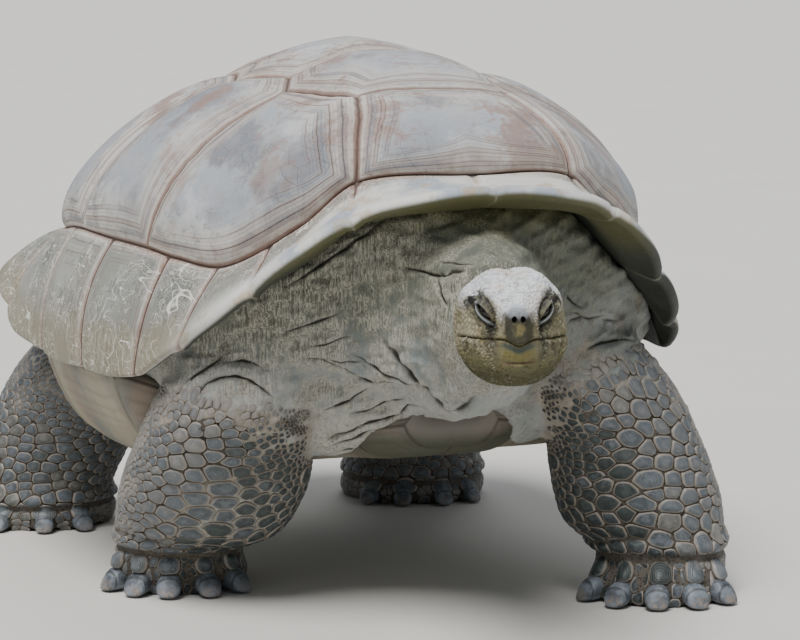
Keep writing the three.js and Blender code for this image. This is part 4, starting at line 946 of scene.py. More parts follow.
@dataclass
class Scales:
    """One coat piece of raised scales, laid over a surface."""

    name: str
    frame: BodyFrame
    # Share of the way in, and height as a share of the scale's own, from the root to the middle.
    profile: tuple[tuple[float, float], ...] = (
        (0.0, -0.75), (0.02, 0.3), (0.1, 0.62), (0.3, 0.9), (1.0, 1.08))
    small: tuple[float, float] = (10, 1.5)  # size below which a scale counts as small, and its gap
    gap: tuple[float, float] = (0.035, 0.4)  # a larger scale's gap as a share of its size, and its least
    tilt: float = 0.05  # how much a scale leans, as a slope
    pitting: float = 0.05  # how uneven its top is, as a share of its height
    unwrapped: float = 0.0015  # how large it lies on the unwrap

    def build(self, layout: ScaleField, places: Array, sizes: Array, high: Array,
              surface: Callable[[Array, Array], Array], seed: int,
              values: Callable[[Array], dict[str, Array]], skipped: int = 0) -> Object:
        """Makes the scales.

        Args:
            layout: the field that gives each scale its outline.
            places: where the scales sit, on the flattened surface.
            sizes: how large each is.
            high: how high each stands.
            surface: takes flattened places and heights to the animal's frame.
            seed: seed of the scales' tones and tilts.
            values: gives further numbers that the scales carry, by flattened place.
            skipped: how many of the first places are left bare.

        Returns:
            The joined scales.
        """
        draw = np.random.default_rng(seed)
        wide = np.clip(sizes * self.gap[0], self.gap[1], layout.groove)
        gaps = np.where(sizes < self.small[0], self.small[1], wide)
        reach, ways = layout.cells(places, sizes, gaps)
        places, sizes, high, reach = (row[skipped:] for row in (places, sizes, high, reach))
        n, sides, rows = len(places), layout.sides, len(self.profile)
        rim = np.concatenate([reach[..., None] * ways, reach[:, :1, None] * ways[:1]], 1)
        inset = np.array([row[0] for row in self.profile])
        lift = np.array([row[1] for row in self.profile])
        spots = places[:, None, None] + rim[:, None] * (1 - inset)[None, :, None, None]
        tilt = draw.normal(0, self.tilt, (n, 1, 1, 2))
        heights = high[:, None, None] * lift[None, :, None] + 0 * spots[..., 0]
        heights += ((spots - places[:, None, None]) * tilt).sum(-1) * (lift > 0)[None, :, None]
        pitted = self.pitting * high[:, None, None] * Wander(9, seed)(spots) * (lift > 0.5)[None, :, None]
        points = surface(spots.reshape(-1, 2), (heights + pitted).reshape(-1))
        bm = bmesh.new()
        bmesh.ops.create_grid(bm, x_segments=sides, y_segments=n * rows - 1, size=1.0)
        bm.faces.ensure_lookup_table()
        links = [f for i, f in enumerate(bm.faces) if (i // sides) % rows == rows - 1]
        bmesh.ops.delete(bm, geom=links, context="FACES")
        mesh = new_mesh(self.name, bm)
        write_points(mesh, self.frame.metres(points))
        carried = {"tone": draw.uniform(0, 1, n), "size": sizes} | values(places)
        for name, numbers in carried.items():
            set_value(mesh, name, np.repeat(numbers, rows * (sides + 1)))
        set_value(mesh, "edge", np.tile(np.repeat(inset, sides + 1), n))
        local = (rim[:, None] * (1 - inset)[None, :, None, None]) / sizes[:, None, None, None]
        patch = (layout.unwrap(places)[:, None, None] + local * self.unwrapped).reshape(-1, 2)
        layer = mesh.uv_layers.new(name="OFBake")
        loops = np.empty(len(mesh.loops), int)
        mesh.loops.foreach_get("vertex_index", loops)
        layer.data.foreach_set("uv", patch[loops].ravel())
        edit(mesh, weld)
        shade_smooth(mesh)
        return new_object(self.name, mesh)


@dataclass
class LegScales:
    """The scales of one leg: large in front and outside, small inside, with shields over the claws."""

    leg: Leg
    frame: BodyFrame
    radius: float = 100.0  # radius of the tube that the leg is flattened from
    tries: int = 26000  # how many places are drawn
    sunk: float = 0.6  # how deep the scales are set in the skin
    fore_sizes: tuple[float, float] = (8, 27)  # of the scales inside and outside
    hind_sizes: tuple[float, float] = (17, 22)  # of the scales behind and in front
    foot_size: float = 12
    unevenness: float = 0.16  # how much neighbours differ in size, as a share
    end: float = 0.985  # share of the leg's length at which the scales end
    heights: tuple[float, float, float] = (0.19, 1.5, 4.8)  # share of the size, least and most
    shield_height: float = 1.5  # how much higher the shields over the claws stand
    claw_shield: tuple[float, float] = (0.919, 33)  # place down the leg, and size
    claw_place: tuple[float, float] = (0.965, 34)
    elbow_shield: tuple[float, float, float] = (-1.2, 0.52, 40)  # angle from the front, place and size

    def spacing(self, places: Array) -> Array:
        """Returns the size of a scale at each flattened place."""
        angle = places[..., 0] / self.radius
        s = places[..., 1] / self.leg.length()
        outward = np.sin(angle) * self.leg.side
        facing = smooth((np.cos(angle) + 0.35) / 0.9)
        grown = smooth((outward + 0.8 + (s - 0.3) * 2.6) / 1.5)
        edge = smooth((outward - 0.45) / 0.45) if self.leg.side < 0 else smooth((outward - 0.8) / 0.2)
        size = mix(*self.fore_sizes, grown) * mix(0.62, 1, facing) * mix(1, 0.48, edge)
        size *= mix(0.45, 1, smooth((s - self.leg.start) / 0.13))
        if not self.leg.fore:
            size = mix(*self.hind_sizes, facing) * mix(0.6, 1, smooth((s - 0.4) / 0.2))
        size = mix(size, self.foot_size, smooth((s - self.leg.ankle + 0.03) / 0.03))
        size = size * (1 + self.unevenness * Wander(55, self.leg.seed)(places))
        return np.where((s < self.leg.start) | (s > self.end), 0, size)

    def shade(self, places: Array) -> dict[str, Array]:
        """Returns how dark the scales are: most inside, and paler at the outer edge and the top."""
        outward = np.sin(places[..., 0] / self.radius) * self.leg.side
        s = places[..., 1] / self.leg.length()
        dark = smooth(0.45 - outward + 0.5 * (s - 0.5)) * mix(0.4, 1, smooth((s - self.leg.start) / 0.1))
        return {"dark": dark if self.leg.fore else 0.3 + 0 * s}

    def gaps(self, body: Array) -> Array:
        """Returns the size of the scales over points of the skin, or 0 where there are none."""
        row = self.leg.stations(np.linspace(0, 1, 200))
        s = np.interp(-body[:, 2], -row[:, 2], np.linspace(0, 1, 200))
        centre, half, deep, across, front = self.leg.axes(s)
        off = body - centre
        side, ahead = (off * across).sum(-1), (off * front).sum(-1)
        turn = np.arctan2(side / half, ahead / deep) % (2 * math.pi)
        size = self.spacing(join(turn * self.radius, s * self.leg.length()))
        size *= smooth((s - self.leg.start) / 0.06)
        return size * (1 - smooth((np.hypot(side / half, ahead / deep) - 1) * half / 30))

    def shields(self) -> Array:
        """Returns the claws' own places, the broad scales over them and the round one inside the elbow.

        Returns:
            Rows of x, y and size, the claws first.
        """
        length = self.leg.length()
        turns = [math.radians(a) % (2 * math.pi) for a in self.leg.claws]
        rows = [(a, *self.claw_place) for a in turns] + [(a, *self.claw_shield) for a in turns]
        if self.leg.fore:
            angle, place, size = self.elbow_shield
            rows.append(((angle * self.leg.side) % (2 * math.pi), place, size))
        return np.array([(a * self.radius, s * length, size) for a, s, size in rows])

    def build(self) -> Object:
        """Returns the leg's coat of scales."""
        leg, length = self.leg, self.leg.length()
        layout = ScaleField(2 * math.pi * self.radius, length, self.spacing)
        fixed = self.shields()
        places, sizes = layout.scatter(leg.seed, self.tries, fixed)
        places = layout.settle(places, sizes, len(fixed))
        shields = np.arange(len(sizes)) < 2 * len(leg.claws)
        share, least, most = self.heights
        high = np.clip(sizes * share, least, most) * np.where(shields, self.shield_height, 1)
        scales = Scales(leg.name + "_scales", self.frame)

        def surface(spots: Array, heights: Array) -> Array:
            """Returns flattened spots on the leg, at heights over its skin."""
            s = np.clip(spots[:, 1] / length, 0, 0.998)
            return leg.point(s, spots[:, 0] / self.radius, heights + SKIN_LIFT - self.sunk)

        coat = scales.build(
            layout, places, sizes, high, surface, leg.seed + 40, self.shade, skipped=len(leg.claws))
        coat.data.materials.append(ScaleFinish().material())
        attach(coat, "root")
        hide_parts(leg.name)
        return coat


# ------------------------------------------------------------------ head
@dataclass(frozen=True)
class Head:
    """The head's shape and the places of its features, in its own frame: left, forward, up."""

    centre: Triple = (-35, -711, 428)
    yaw: float = 17.5
    pitch: float = 5
    # Along the head: half width at the brow and at the jaw, top, bottom, squareness.
    skull: Keyed = Keyed([
        [-88, [48, 50, 46, -50, 1]], [-62, [60, 62, 60, -62, 1]], [-30, [66, 67, 68, -69, 0.92]],
        [0, [66, 68, 70, -70, 0.86]], [20, [60, 66, 69, -69, 0.82]], [36, [50, 61, 63, -67, 0.8]],
        [50, [40, 54, 55, -64, 0.82]], [64, [32, 47, 49, -59, 0.84]], [78, [27, 40, 43, -52, 0.84]],
        [90, [22, 31, 34, -42, 0.86]], [98, [12, 18, 20, -28, 0.9]],
    ])
    eye: Triple = (30, 42, 25)
    eye_radius: float = 13
    lid: float = 2.4  # thickness of the lids over the ball
    lid_reach: float = 34.0  # how far from the eye the lids and their folds reach
    slit: tuple[float, float] = (14.0, 4.2)  # half length and half height of the opening
    mouth: Keyed = Keyed([[6, -10.5], [24, -8], [56, -4.5], [75, -1.2], [92, 2.6]])  # height by place along
    hook: tuple[float, float] = (6, 10)  # how far the beak dips in the middle, and how wide
    mouth_corner: float = 8
    nostril: tuple[float, float] = (5.2, 26.5)  # aside and up

    def axes(self) -> Array:
        """Returns the ways left, forward and up as rows."""
        yaw, pitch = math.radians(self.yaw), math.radians(self.pitch)
        forward = np.array([
            -math.sin(yaw) * math.cos(pitch), -math.cos(yaw) * math.cos(pitch), -math.sin(pitch)])
        left = np.array([math.cos(yaw), -math.sin(yaw), 0.0])
        return np.array([left, forward, np.cross(forward, left)])

    def place(self, points: Array) -> Array:
        """Returns the animal's frame for points of the head's."""
        return np.asarray(points, float) @ self.axes() + np.array(self.centre)

    def local(self, points: Array) -> Array:
        """Returns the head's frame for points of the animal's."""
        return (points - np.array(self.centre)) @ self.axes().T

    def surface(self, forward: Array, a: Array) -> Array:
        """Returns the plain skull by place along it and angle round it."""
        brow, jaw, top, bottom, square = np.moveaxis(self.skull(forward), -1, 0)
        level = power(np.sin(a), square)
        brows = bell(a - 1.02, 0.3) + bell(a - 2.12, 0.3)
        ridge = 5 * brows * bell(forward - 22, 26)
        crown = 5 * bell(a - math.pi / 2, 0.22) * bell(forward - 5, 45)
        up = (top + bottom) / 2 + ((top - bottom) / 2) * level + (ridge - crown) * np.sin(a)
        half = mix(jaw, brow, smooth((level + 0.45) / 0.9))
        return join(half * power(np.cos(a), square), forward, up)

    def sheet(self) -> Patch:
        """Returns the plain skull, closed at both ends."""
        forward = np.linspace(-88, 98, 90)[:, None]
        a = np.linspace(0, 2 * math.pi, 121)[None]
        points = self.surface(forward + 0 * a, a + 0 * forward)
        snout = points[-1] * np.array([0.6, 1, 0.6]) + np.array([0, 2.6, -1.5])
        ends = [np.broadcast_to(p.mean(0), p.shape)[None] for p in (points[0], snout + [0, 0.8, 0])]
        return Patch(self.place(np.concatenate([ends[0], points, snout[None], ends[1]])))

    def eye_axes(self, side: int) -> Array:
        """Returns the ways along an eye's slit, over it and out, for the left eye (1) or the right (-1)."""
        out = unit(np.array([side * 0.7, 0.7, 0.12]))
        along = np.array([-side * 0.55, 0.6, -0.55])
        along = unit(along - out * (along @ out))
        over = unit(np.cross(out, along))
        return np.array([along, over if over[2] > 0 else -over, out])

    def eye_place(self, side: int) -> Array:
        """Returns the middle of an eye in the head's frame."""
        return np.array(self.eye) * [side, 1, 1]

    def ball(self, side: int, radius: float) -> Patch:
        """Returns a ball at an eye, in the animal's frame."""
        polar = np.linspace(0, math.pi, 25)[:, None]
        turn = np.linspace(0, 2 * math.pi, 41)[None]
        ways = join(np.sin(polar) * np.cos(turn), np.sin(polar) * np.sin(turn), np.cos(polar))
        return Patch(self.place(self.eye_place(side) + (ways * radius) @ self.eye_axes(side)))

    def carve(self, p: Array) -> Array:
        """Gives the plain head its features.

        Args:
            p: points of the head's skin, in its own frame.

        Returns:
            The points moved to lids, nostrils, lips and folds.
        """
        p = self.crown(p)
        p = self.lips(p)
        p = self.nostrils(p)
        for side in (-1, 1):
            p = self.lids(p, side)
        return p

    def mouth_line(self, p: Array) -> Array:
        """Returns how far points lie over the line of the mouth."""
        left, forward, up = np.moveaxis(p, -1, 0)
        deep, wide = self.hook
        return up - self.mouth(forward) + deep * bell(left, wide) * smooth((forward - 82) / 10)

    def crown(self, p: Array) -> Array:
        """Returns the points with the two lobes of the crown, the brows and the nape's fold."""
        left, forward, up = np.moveaxis(p, -1, 0)
        top = smooth((up - 36) / 16)
        lobes = 1.5 * bell(np.abs(left) - 22, 10) - 3.2 * bell(left + 2, 8)
        lobes = lobes * bell(forward + 6, 34) * top
        lower = -top * (4.2 - 2.0 * smooth((left + 18) / 30)) * bell(forward, 60)
        brow = 3.6 * bell(np.abs(left) - 34, 9) * bell(forward - 30, 13) * smooth((up - 26) / 12)
        hollow = -2.4 * bell(np.abs(left) - 15, 7) * bell(forward - 66, 12) * smooth((up - 22) / 8)
        out = unit(p * [1, 0.15, 1])
        nape = -13 * bell(forward + 50, 7.5) * smooth((up + 30) / 60)
        return p + out * (lobes + lower + brow + hollow + nape)[..., None]

    def lips(self, p: Array) -> Array:
        """Returns the points with the lips, the beak and the folds of the chin."""
        left, forward, up = np.moveaxis(p, -1, 0)
        over = self.mouth_line(p)
        outward = unit(join(left, 0.55 * (forward - 20), 0.0 * up))
        here = smooth((forward - self.mouth_corner) / 8)
        front = smooth((forward - 72) / 20)
        line = -2.6 * bell(over, 1.35) * here
        lips = (1.5 * bell(over - 4.5, 3.4) + 1.1 * bell(over + 4.5, 3.2)) * here
        beak = 3.2 * bell(over - 5, 8) * front * bell(left, 17)
        lower = -2.2 * bell(over + 6, 4.5) * front * bell(left, 20)
        fold = -2.4 * bell(up + 25 - 0.004 * left**2, 1.4) * front * bell(left, 19)
        chin = 2.4 * bell(up + 31, 5) * front * bell(left, 19)
        corner = -1.6 * bell(np.hypot(forward - self.mouth_corner, over), 5)
        cheek = 2.4 * bell(over + 13, 9) * bell(forward - 22, 16)
        temple = -2.5 * bell(up - 18, 12) * bell(forward - 4, 14)
        shift = line + lips + beak + lower + fold + chin + corner + cheek + temple
        return p + outward * shift[..., None]

    def nostrils(self, p: Array) -> Array:
        """Returns the points with the two nostrils sunk and a soft rim round each."""
        left, forward, up = np.moveaxis(p, -1, 0)
        for side in (-1, 1):
            aside, over = left - side * self.nostril[0], up - self.nostril[1]
            away = np.hypot(aside / 0.8, (over + 0.25 * side * aside) / 1.15)
            here = smooth((forward - 70) / 10)
            sink = 11 * (1 - smooth((away - 1.9) / 1.6)) * here
            rim = 0.8 * bell(away - 4.6, 1.4) * here
            p = p + join(0.0 * left, rim - sink, 0.0 * left)
        return p

    def opening(self, along: Array, over: Array) -> tuple[Array, Array]:
        """Returns the height over an eye's slit, and the distance in shares of the slit's size."""
        half, high = self.slit
        arched = over - 1.2 * (1 - (along / half) ** 2)
        return arched, np.hypot(along / half, arched / high)

    def marks(self, p: Array) -> dict[str, Array]:
        """Returns what the skin's colours need: distances from the mouth's line and from the eyes.

        Args:
            p: points of the head, in its own frame.

        Returns:
            For each point, how far it lies over the mouth, and how far out of and under an eye's slit.
        """
        eye, under = np.full(len(p), 9.0), np.zeros(len(p))
        for side in (-1, 1):
            along, over, out = ((p - self.eye_place(side)) @ self.eye_axes(side).T).T
            arched, open_ = self.opening(along, over)
            open_ = np.where(out > 0, open_, 9.0)
            under = np.where(open_ < eye, -arched, under)
            eye = np.minimum(eye, open_)
        return {"lip": np.clip(self.mouth_line(p), -60, 60), "eye": eye, "under": under}

    def lids(self, p: Array, side: int) -> Array:
        """Returns the points with one eye's lids, their opening and the folds round them."""
        middle, axes = self.eye_place(side), self.eye_axes(side)
        along, over, out = np.moveaxis((p - middle) @ axes.T, -1, 0)
        arched, open_ = self.opening(along, over)
        seen = (out > 0) & (np.hypot(along, over) < self.lid_reach)
        ball = np.sqrt(np.maximum(1, (self.eye_radius + self.lid) ** 2 - 0.62 * along**2 - over**2))
        hood = smooth((arched + 1) / 4)
        lid = ball + 1.1 * bell(open_ - 1.25, 0.3) + 1.2 * hood * bell(open_ - 1.5, 0.5)
        crease = -2.6 * bell(open_ - 2.7, 0.42) * mix(0.7, 1.2, hood)
        blend = 1 - smooth((open_ - 1.7) / 1.1)
        target = np.where(seen, mix(out, lid, blend) + crease, out)
        inside = np.sqrt(np.maximum(4, self.eye_radius**2 - along**2 - over**2)) - 4.5
        hole = 1 - smooth((open_ - 0.86) / 0.2)
        target = np.where(seen, mix(target, inside, hole), target)
        brow = np.where(seen, 2.4 * bell(over - 16, 5) * bell(along + 2, 15), 0.0)
        bag = np.where(seen, 1.5 * bell(over + 13, 4) * bell(along - 2, 13), 0.0)
        return p + (target - out + brow + bag)[..., None] * axes[2]


@dataclass
class FaceScales:
    """The fine flat scales of the head: smallest round the mouth, larger on the crown."""

    head: Head
    frame: BodyFrame
    radius: float = 62.0  # radius of the tube that the head is flattened from
    back: float = -50.0  # where they start, along the head
    length: float = 140.0
    tries: int = 30000  # how many places are drawn
    sizes: tuple[float, float] = (4.6, 6.4)  # of the scales below and on the crown
    heights: tuple[float, float] = (0.3, 0.06)  # height, and how much it grows with the size
    raised: float = 0.15  # how far the scales stand off the skin
    # As in Scales, from the root to the middle.
    profile: tuple[tuple[float, float], ...] = ((0.0, -0.8), (0.14, 0.55), (0.5, 1.0), (1.0, 1.08))

    def spots(self, places: Array) -> tuple[Array, Array]:
        """Returns the place along the head and the angle round it, of flattened places."""
        return places[..., 1] + self.back, places[..., 0] / self.radius

    def spacing(self, places: Array) -> Array:
        """Returns the size of a scale at each flattened place, or 0 where the skin is bare."""
        forward, a = self.spots(places)
        p = self.head.surface(forward, a)
        eyes = norm(np.abs(p) - (np.array(self.head.eye) + [4, 4, 0]))
        snout = (forward > 74) & (np.abs(p[..., 0]) < 20) & (p[..., 2] > -14)
        lips = (np.abs(self.head.mouth_line(p)) < 3) & (forward > 2)
        size = mix(*self.sizes, smooth((p[..., 2] - 20) / 30)) * (1 + 0.18 * Wander(17, 61)(places))
        return np.where((eyes < 21) | snout | lips | (forward > 86), 0, size)

    def surface(self, places: Array, heights: Array) -> Array:
        """Returns flattened places on the carved head, at heights over its skin."""
        forward, a = self.spots(places)
        steps = (0, 0), (0.6, 0), (0, 0.01)
        at, ahead, beside = (
            self.head.carve(self.head.surface(forward + along, a + turned)) for along, turned in steps)
        out = unit(np.cross(beside - at, ahead - at))
        out *= np.sign((out * at).sum(-1))[..., None]
        return self.head.place(at + out * (heights + self.raised)[..., None])

    def marks(self, places: Array) -> dict[str, Array]:
        """Returns what the colours need at flattened places."""
        forward, a = self.spots(places)
        return self.head.marks(self.head.carve(self.head.surface(forward, a)))

    def build(self) -> Object:
        """Returns the head's coat of scales."""
        around = 2 * math.pi * self.radius
        layout = ScaleField(around, self.length, self.spacing, closeness=0.86, sides=8)
        places, sizes = layout.scatter(71, self.tries, np.zeros((0, 3)))
        scales = Scales("head_scales", self.frame, self.profile)
        least, growth = self.heights
        coat = scales.build(layout, places, sizes, least + growth * sizes, self.surface, 72, self.marks)
        LOG.info("head: %d scales", len(places))
        coat.data.materials.append(SkinFinish(self.head, self.frame).material())
        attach(coat, "root")
        return coat


# ------------------------------------------------------------------ skin
@dataclass(frozen=True)
class Fold:
    """A crease of the skin, drawn on the chest as it is seen from the front."""

    route: tuple[tuple[float, float], ...]  # across and up, in millimetres
    deep: float
    wide: float


# Across and up, as seen from the front; then how deep and how wide.
CHEST_FOLDS = (
    # Round the lower end of the throat's bag, and the creases that fan out from it.
    Fold(((58, 390), (75, 374), (89, 356), (108, 335), (128, 317), (144, 299), (160, 300), (172, 312),
          (186, 337)), 12, 9),
    Fold(((25, 366), (44, 354), (58, 348), (75, 337), (93, 332), (111, 326)), 5, 4),
    Fold(((-48, 365), (-40, 357), (-11, 356), (9, 348), (22, 338), (33, 329), (58, 325), (80, 329),
          (95, 325)), 5, 4),
    Fold(((-11, 359), (20, 354), (44, 353)), 3, 3),
    Fold(((-17, 280), (-1, 286), (22, 294), (30, 302), (50, 315)), 5, 4),
    Fold(((21, 277), (44, 281), (66, 293), (84, 303), (99, 308)), 4, 3.5),
    Fold(((-18, 232), (5, 245), (28, 254), (48, 266), (71, 273), (89, 280), (98, 296), (120, 296),
          (142, 296)), 7, 4),
    Fold(((-16, 226), (5, 235), (25, 241), (50, 254), (71, 261), (89, 266), (111, 270),
          (130, 288)), 6, 3.5),
    Fold(((-20, 212), (5, 221), (43, 227), (66, 240), (77, 251), (89, 262)), 5, 3.5),
    # Over the right shoulder.
    Fold(((-66, 390), (-53, 394), (-26, 404), (8, 417), (20, 425)), 4, 4),
    Fold(((-31, 373), (-8, 377), (16, 386), (27, 388)), 3.5, 3.5),
    Fold(((-179, 305), (-162, 322), (-145, 330), (-125, 333), (-109, 329), (-94, 320), (-80, 308),
          (-67, 300)), 7, 4.5),
    Fold(((-137, 350), (-116, 353), (-102, 350), (-87, 342)), 4, 4),
    Fold(((-209, 295), (-196, 313), (-179, 329), (-162, 342), (-145, 355), (-133, 362)), 6, 5),
    # Behind the head, and down beside it.
    Fold(((84, 480), (106, 478), (127, 475), (144, 477), (152, 484), (167, 487), (181, 488)), 7, 4),
    Fold(((132, 493), (144, 489), (152, 492), (186, 495)), 3, 3),
    Fold(((136, 477), (137, 459), (142, 449), (151, 442), (156, 428)), 5, 4),
    # Where the skin meets the shell.
    Fold(((-65, 449), (-32, 467), (-10, 483), (23, 506), (51, 526), (67, 542)), 5, 5),
    # Over the left shoulder.
    Fold(((307, 389), (314, 394), (329, 397), (340, 391), (352, 392), (363, 394)), 5, 3.5),
    Fold(((308, 405), (318, 404), (329, 397)), 3, 3),
    Fold(((302, 435), (309, 424), (318, 415), (326, 410)), 4, 3.5),
    Fold(((357, 387), (378, 383)), 3, 3),
    Fold(((332, 348), (345, 354), (358, 359), (379, 361), (404, 355)), 6, 4),
)


@dataclass
class Skin:
    """The one skin over neck, head, chest, legs and tail."""

    frame: BodyFrame
    head: Head
    voxel: float = 0.0065  # metres between the points of the first even skin
    grow: float = 1.2  # how far the solids swell so that they join
    tail_grow: float = 4.0  # more, so that its tip stays whole
    view: float = 21.0  # how far to the side of the front the folds are drawn from, in degrees
    folds: tuple[Fold, ...] = ()
    flesh: tuple[str, ...] = ("torso_front", "torso_rear", "neck", "tail")
    # The fine creases' height, the length of their waves and how these are squeezed along each way.
    creases: tuple[tuple[float, float, Triple], ...] = ((1.7, 46, (1, 0.5, 2.2)), (0.9, 17, (0.7, 0.5, 2)))
    head_reach: float = 150.0  # from the middle of the head to the end of its skin
    hidden_share: float = 0.93  # how much of the hidden skin's faces go
    # The chest, neck and head: half width, rear end, bottom and top.
    front: tuple[float, float, float, float] = (330, -300, 190, 560)

    def copies(self) -> Mesh:
        """Returns the flesh nodes, the legs and the plain head as overlapping closed meshes."""
        bm = bmesh.new()
        for name in self.flesh:
            part = bmesh.new()
            part.from_mesh(bpy.data.objects[name].data)
            bmesh.ops.remove_doubles(part, verts=part.verts, dist=WELD * 10)
            part.normal_update()
            for vert in part.verts:
                vert.co += vert.normal * ((self.tail_grow if name == "tail" else self.grow) * MM)
            mesh = new_mesh("flesh", part)
            bm.from_mesh(mesh)
            bpy.data.meshes.remove(mesh)
        sheets = [leg.sheet(SKIN_LIFT) for leg in LEGS] + [self.head.sheet()]
        sheets += [self.head.ball(side, self.head.eye_radius + self.head.lid) for side in (-1, 1)]
        for sheet in sheets:
            mesh = patch_mesh("sheet", [sheet], self.frame)
            bm.from_mesh(mesh)
            bpy.data.meshes.remove(mesh)
        return new_mesh("skin", bm)

    def remeshed(self, mesh: Mesh) -> Object:
        """Returns one even skin round overlapping meshes."""
        rough = new_object("rough_skin", mesh)
        remesh = rough.modifiers.new("remesh", "REMESH")
        remesh.mode = "VOXEL"
        remesh.voxel_size = self.voxel
        even = applied(rough)
        even.name = "skin"
        bpy.data.objects.remove(rough)
        edit(even, drop_crumbs)
        return new_object("skin", even)

    def hidden(self, points: Array) -> Array:
        """Tells which points are shut in by the shell whichever way they are looked at."""
        blockers = []
        for name in ("carapace", "plastron"):
            solid = bmesh.new()
            solid.from_mesh(bpy.data.objects[name].data)
            blockers.append(BVHTree.FromBMesh(solid))
            solid.free()
        ways = [Vector((math.sin(a) * c, math.cos(a) * c, s))
                for a in np.arange(0, 6.2, math.pi / 6)
                for c, s in ((1, 0), (0.94, -0.34), (0.77, -0.64), (0.94, 0.34))]
        body = self.frame.body(points)
        shut = np.zeros(len(points), bool)
        for i in np.flatnonzero((body[:, 2] > 150) & (np.abs(body[:, 1]) < 520)):
            place = Vector(points[i])
            shut[i] = all(
                any(tree.ray_cast(place, way)[0] is not None for tree in blockers) for way in ways)
        return shut

    def refine(self, mesh: Mesh, chosen: Measure) -> None:
        """Splits the faces whose points are chosen into four.

        Args:
            mesh: the skin.
            chosen: tells for each point in the animal's frame whether it is chosen.
        """
        marks = chosen(self.frame.body(read_points(mesh)))

        def split(bm: BMesh) -> None:
            """Splits the edges between chosen points."""
            bm.verts.ensure_lookup_table()
            edges = [e for e in bm.edges if marks[e.verts[0].index] and marks[e.verts[1].index]]
            bmesh.ops.subdivide_edges(bm, edges=edges, cuts=1, use_grid_fill=True)
            bmesh.ops.triangulate(bm, faces=[f for f in bm.faces if len(f.verts) > 4])

        edit(mesh, split)

    def settle(self, mesh: Mesh, weight: Array, rounds: int) -> None:
        """Smooths the skin by moving points toward their neighbours' middle, where the weight says."""
        edges = np.empty(len(mesh.edges) * 2, int)
        mesh.edges.foreach_get("vertices", edges)
        a, b = edges.reshape(-1, 2).T
        points = read_points(mesh)
        count = np.bincount(np.concatenate([a, b]), minlength=len(points))[:, None]
        for _ in range(rounds):
            total = np.zeros_like(points)
            for k in range(3):
                for one, other in ((a, b), (b, a)):
                    total[:, k] += np.bincount(one, points[other, k], len(points))
            points = points + (total / np.maximum(count, 1) - points) * (0.6 * weight[:, None])
        write_points(mesh, points)

    def project_head(self, mesh: Mesh) -> None:
        """Lays the skin of the head on the fine plain skull."""
        fine = patch_mesh("fine", [self.head.sheet()], self.frame)
        bm = bmesh.new()
        bm.from_mesh(fine)
        for side in (-1, 1):
            lids = self.head.ball(side, self.head.eye_radius + self.head.lid)
            ball = patch_mesh("ball", [lids], self.frame)
            bm.from_mesh(ball)
            bpy.data.meshes.remove(ball)
        tree = BVHTree.FromBMesh(bm)
        bm.free()
        bpy.data.meshes.remove(fine)
        points = read_points(mesh)
        local = self.head.local(self.frame.body(points))
        pull = smooth((local[:, 1] + 55) / 25) * (norm(local) < self.head_reach)
        for i in np.flatnonzero(pull > 0):
            nearest = tree.find_nearest(Vector(points[i]))[0]
            points[i] += (np.array(nearest) - points[i]) * pull[i]
        write_points(mesh, points)

    def seen(self, body: Array) -> Array:
        """Returns how far points lie across and up, seen from the front, in millimetres."""
        turn = math.radians(self.view)
        return join(body[:, 0] * math.cos(turn) - body[:, 1] * math.sin(turn), body[:, 2])

    def away(self, place: Array, route: Array) -> tuple[Array, Array, Array]:
        """Measures places against a line of straight stretches.

        Args:
            place: places across and up.
            route: the line's corners.

        Returns:
            How far they lie from the line, how far over it, and a taper that fades at its ends.
        """
        lengths = norm(np.diff(route, axis=0))
        total, gone = lengths.sum(), 0.0
        best, over, share = np.full(len(place), 1e9), np.zeros(len(place)), np.zeros(len(place))
        for a, b, length in zip(route, route[1:], lengths):
            way = (b - a) / length
            t = np.clip((place - a) @ way, 0, length)
            gap = place - a - t[:, None] * way
            far = norm(gap)
            nearer = far < best
            best = np.where(nearer, far, best)
            over = np.where(nearer, far * np.sign(gap[:, 1]), over)
            share = np.where(nearer, (gone + t) / total, share)
            gone += length
        return best, over, np.sin(np.pi * np.clip(share, 0.02, 0.98)) ** 0.6

    def near_folds(self, body: Array) -> Array:
        """Tells which points lie near a fold."""
        place = self.seen(body)
        near = np.zeros(len(body), bool)
        for fold in self.folds:
            near |= self.away(place, np.array(fold.route, float))[0] < 2.2 * fold.wide + 3
        return near & (body[:, 1] < -280) & self.near_front(body)

    def wrinkle(self, mesh: Mesh) -> None:
        """Presses the folds into the chest and neck, lays fine creases over the loose skin, and keeps the
        painted shade along each fold's bottom.
        """
        points = read_points(mesh)
        normals = read_normals(mesh)
        body = self.frame.body(points)
        local = self.head.local(body)
        loose = smooth((-45 - local[:, 1]) / 25) * smooth((body[:, 2] - 150) / 60)
        legs = smooth((250 - body[:, 2]) / 60)  # where the scales take the creases' place
        place = self.seen(body)
        turn = math.radians(self.view)
        facing = normals @ np.array([-math.sin(turn), -math.cos(turn), 0])
        front = smooth((facing + 0.1) / 0.3) * smooth((-60 - body[:, 1]) / 60)
        shift, dark = np.zeros(len(points)), np.zeros(len(points))
        for fold in self.folds:
            away, over, taper = self.away(place, np.array(fold.route, float))
            wide = max(1.7, 0.46 * fold.wide) * (1 + 0.3 * Wander(30, 9)(place))
            crest = 0.42 * bell(over - 4 * wide, 3.4 * wide) + 0.18 * bell(over + 3 * wide, 2.4 * wide)
            shift += fold.deep * (crest - 0.8 * bell(away, wide)) * front * taper
            # Painted shade: how dark each fold's bottom is painted, by its depth.
            dark = np.maximum(dark, bell(away, 0.85 * wide) * front * taper * min(1, fold.deep / 4))
        creases = sum(high * Wander(wave, 31 + i)(body * squeeze)
                      for i, (high, wave, squeeze) in enumerate(self.creases))
        shift = (shift + creases * (1 - legs)) * loose
        # The folds' painted shade, which the skin's colour reads.
        set_value(mesh, "fold", dark * loose)
        write_points(mesh, points + normals * (shift * MM)[:, None])

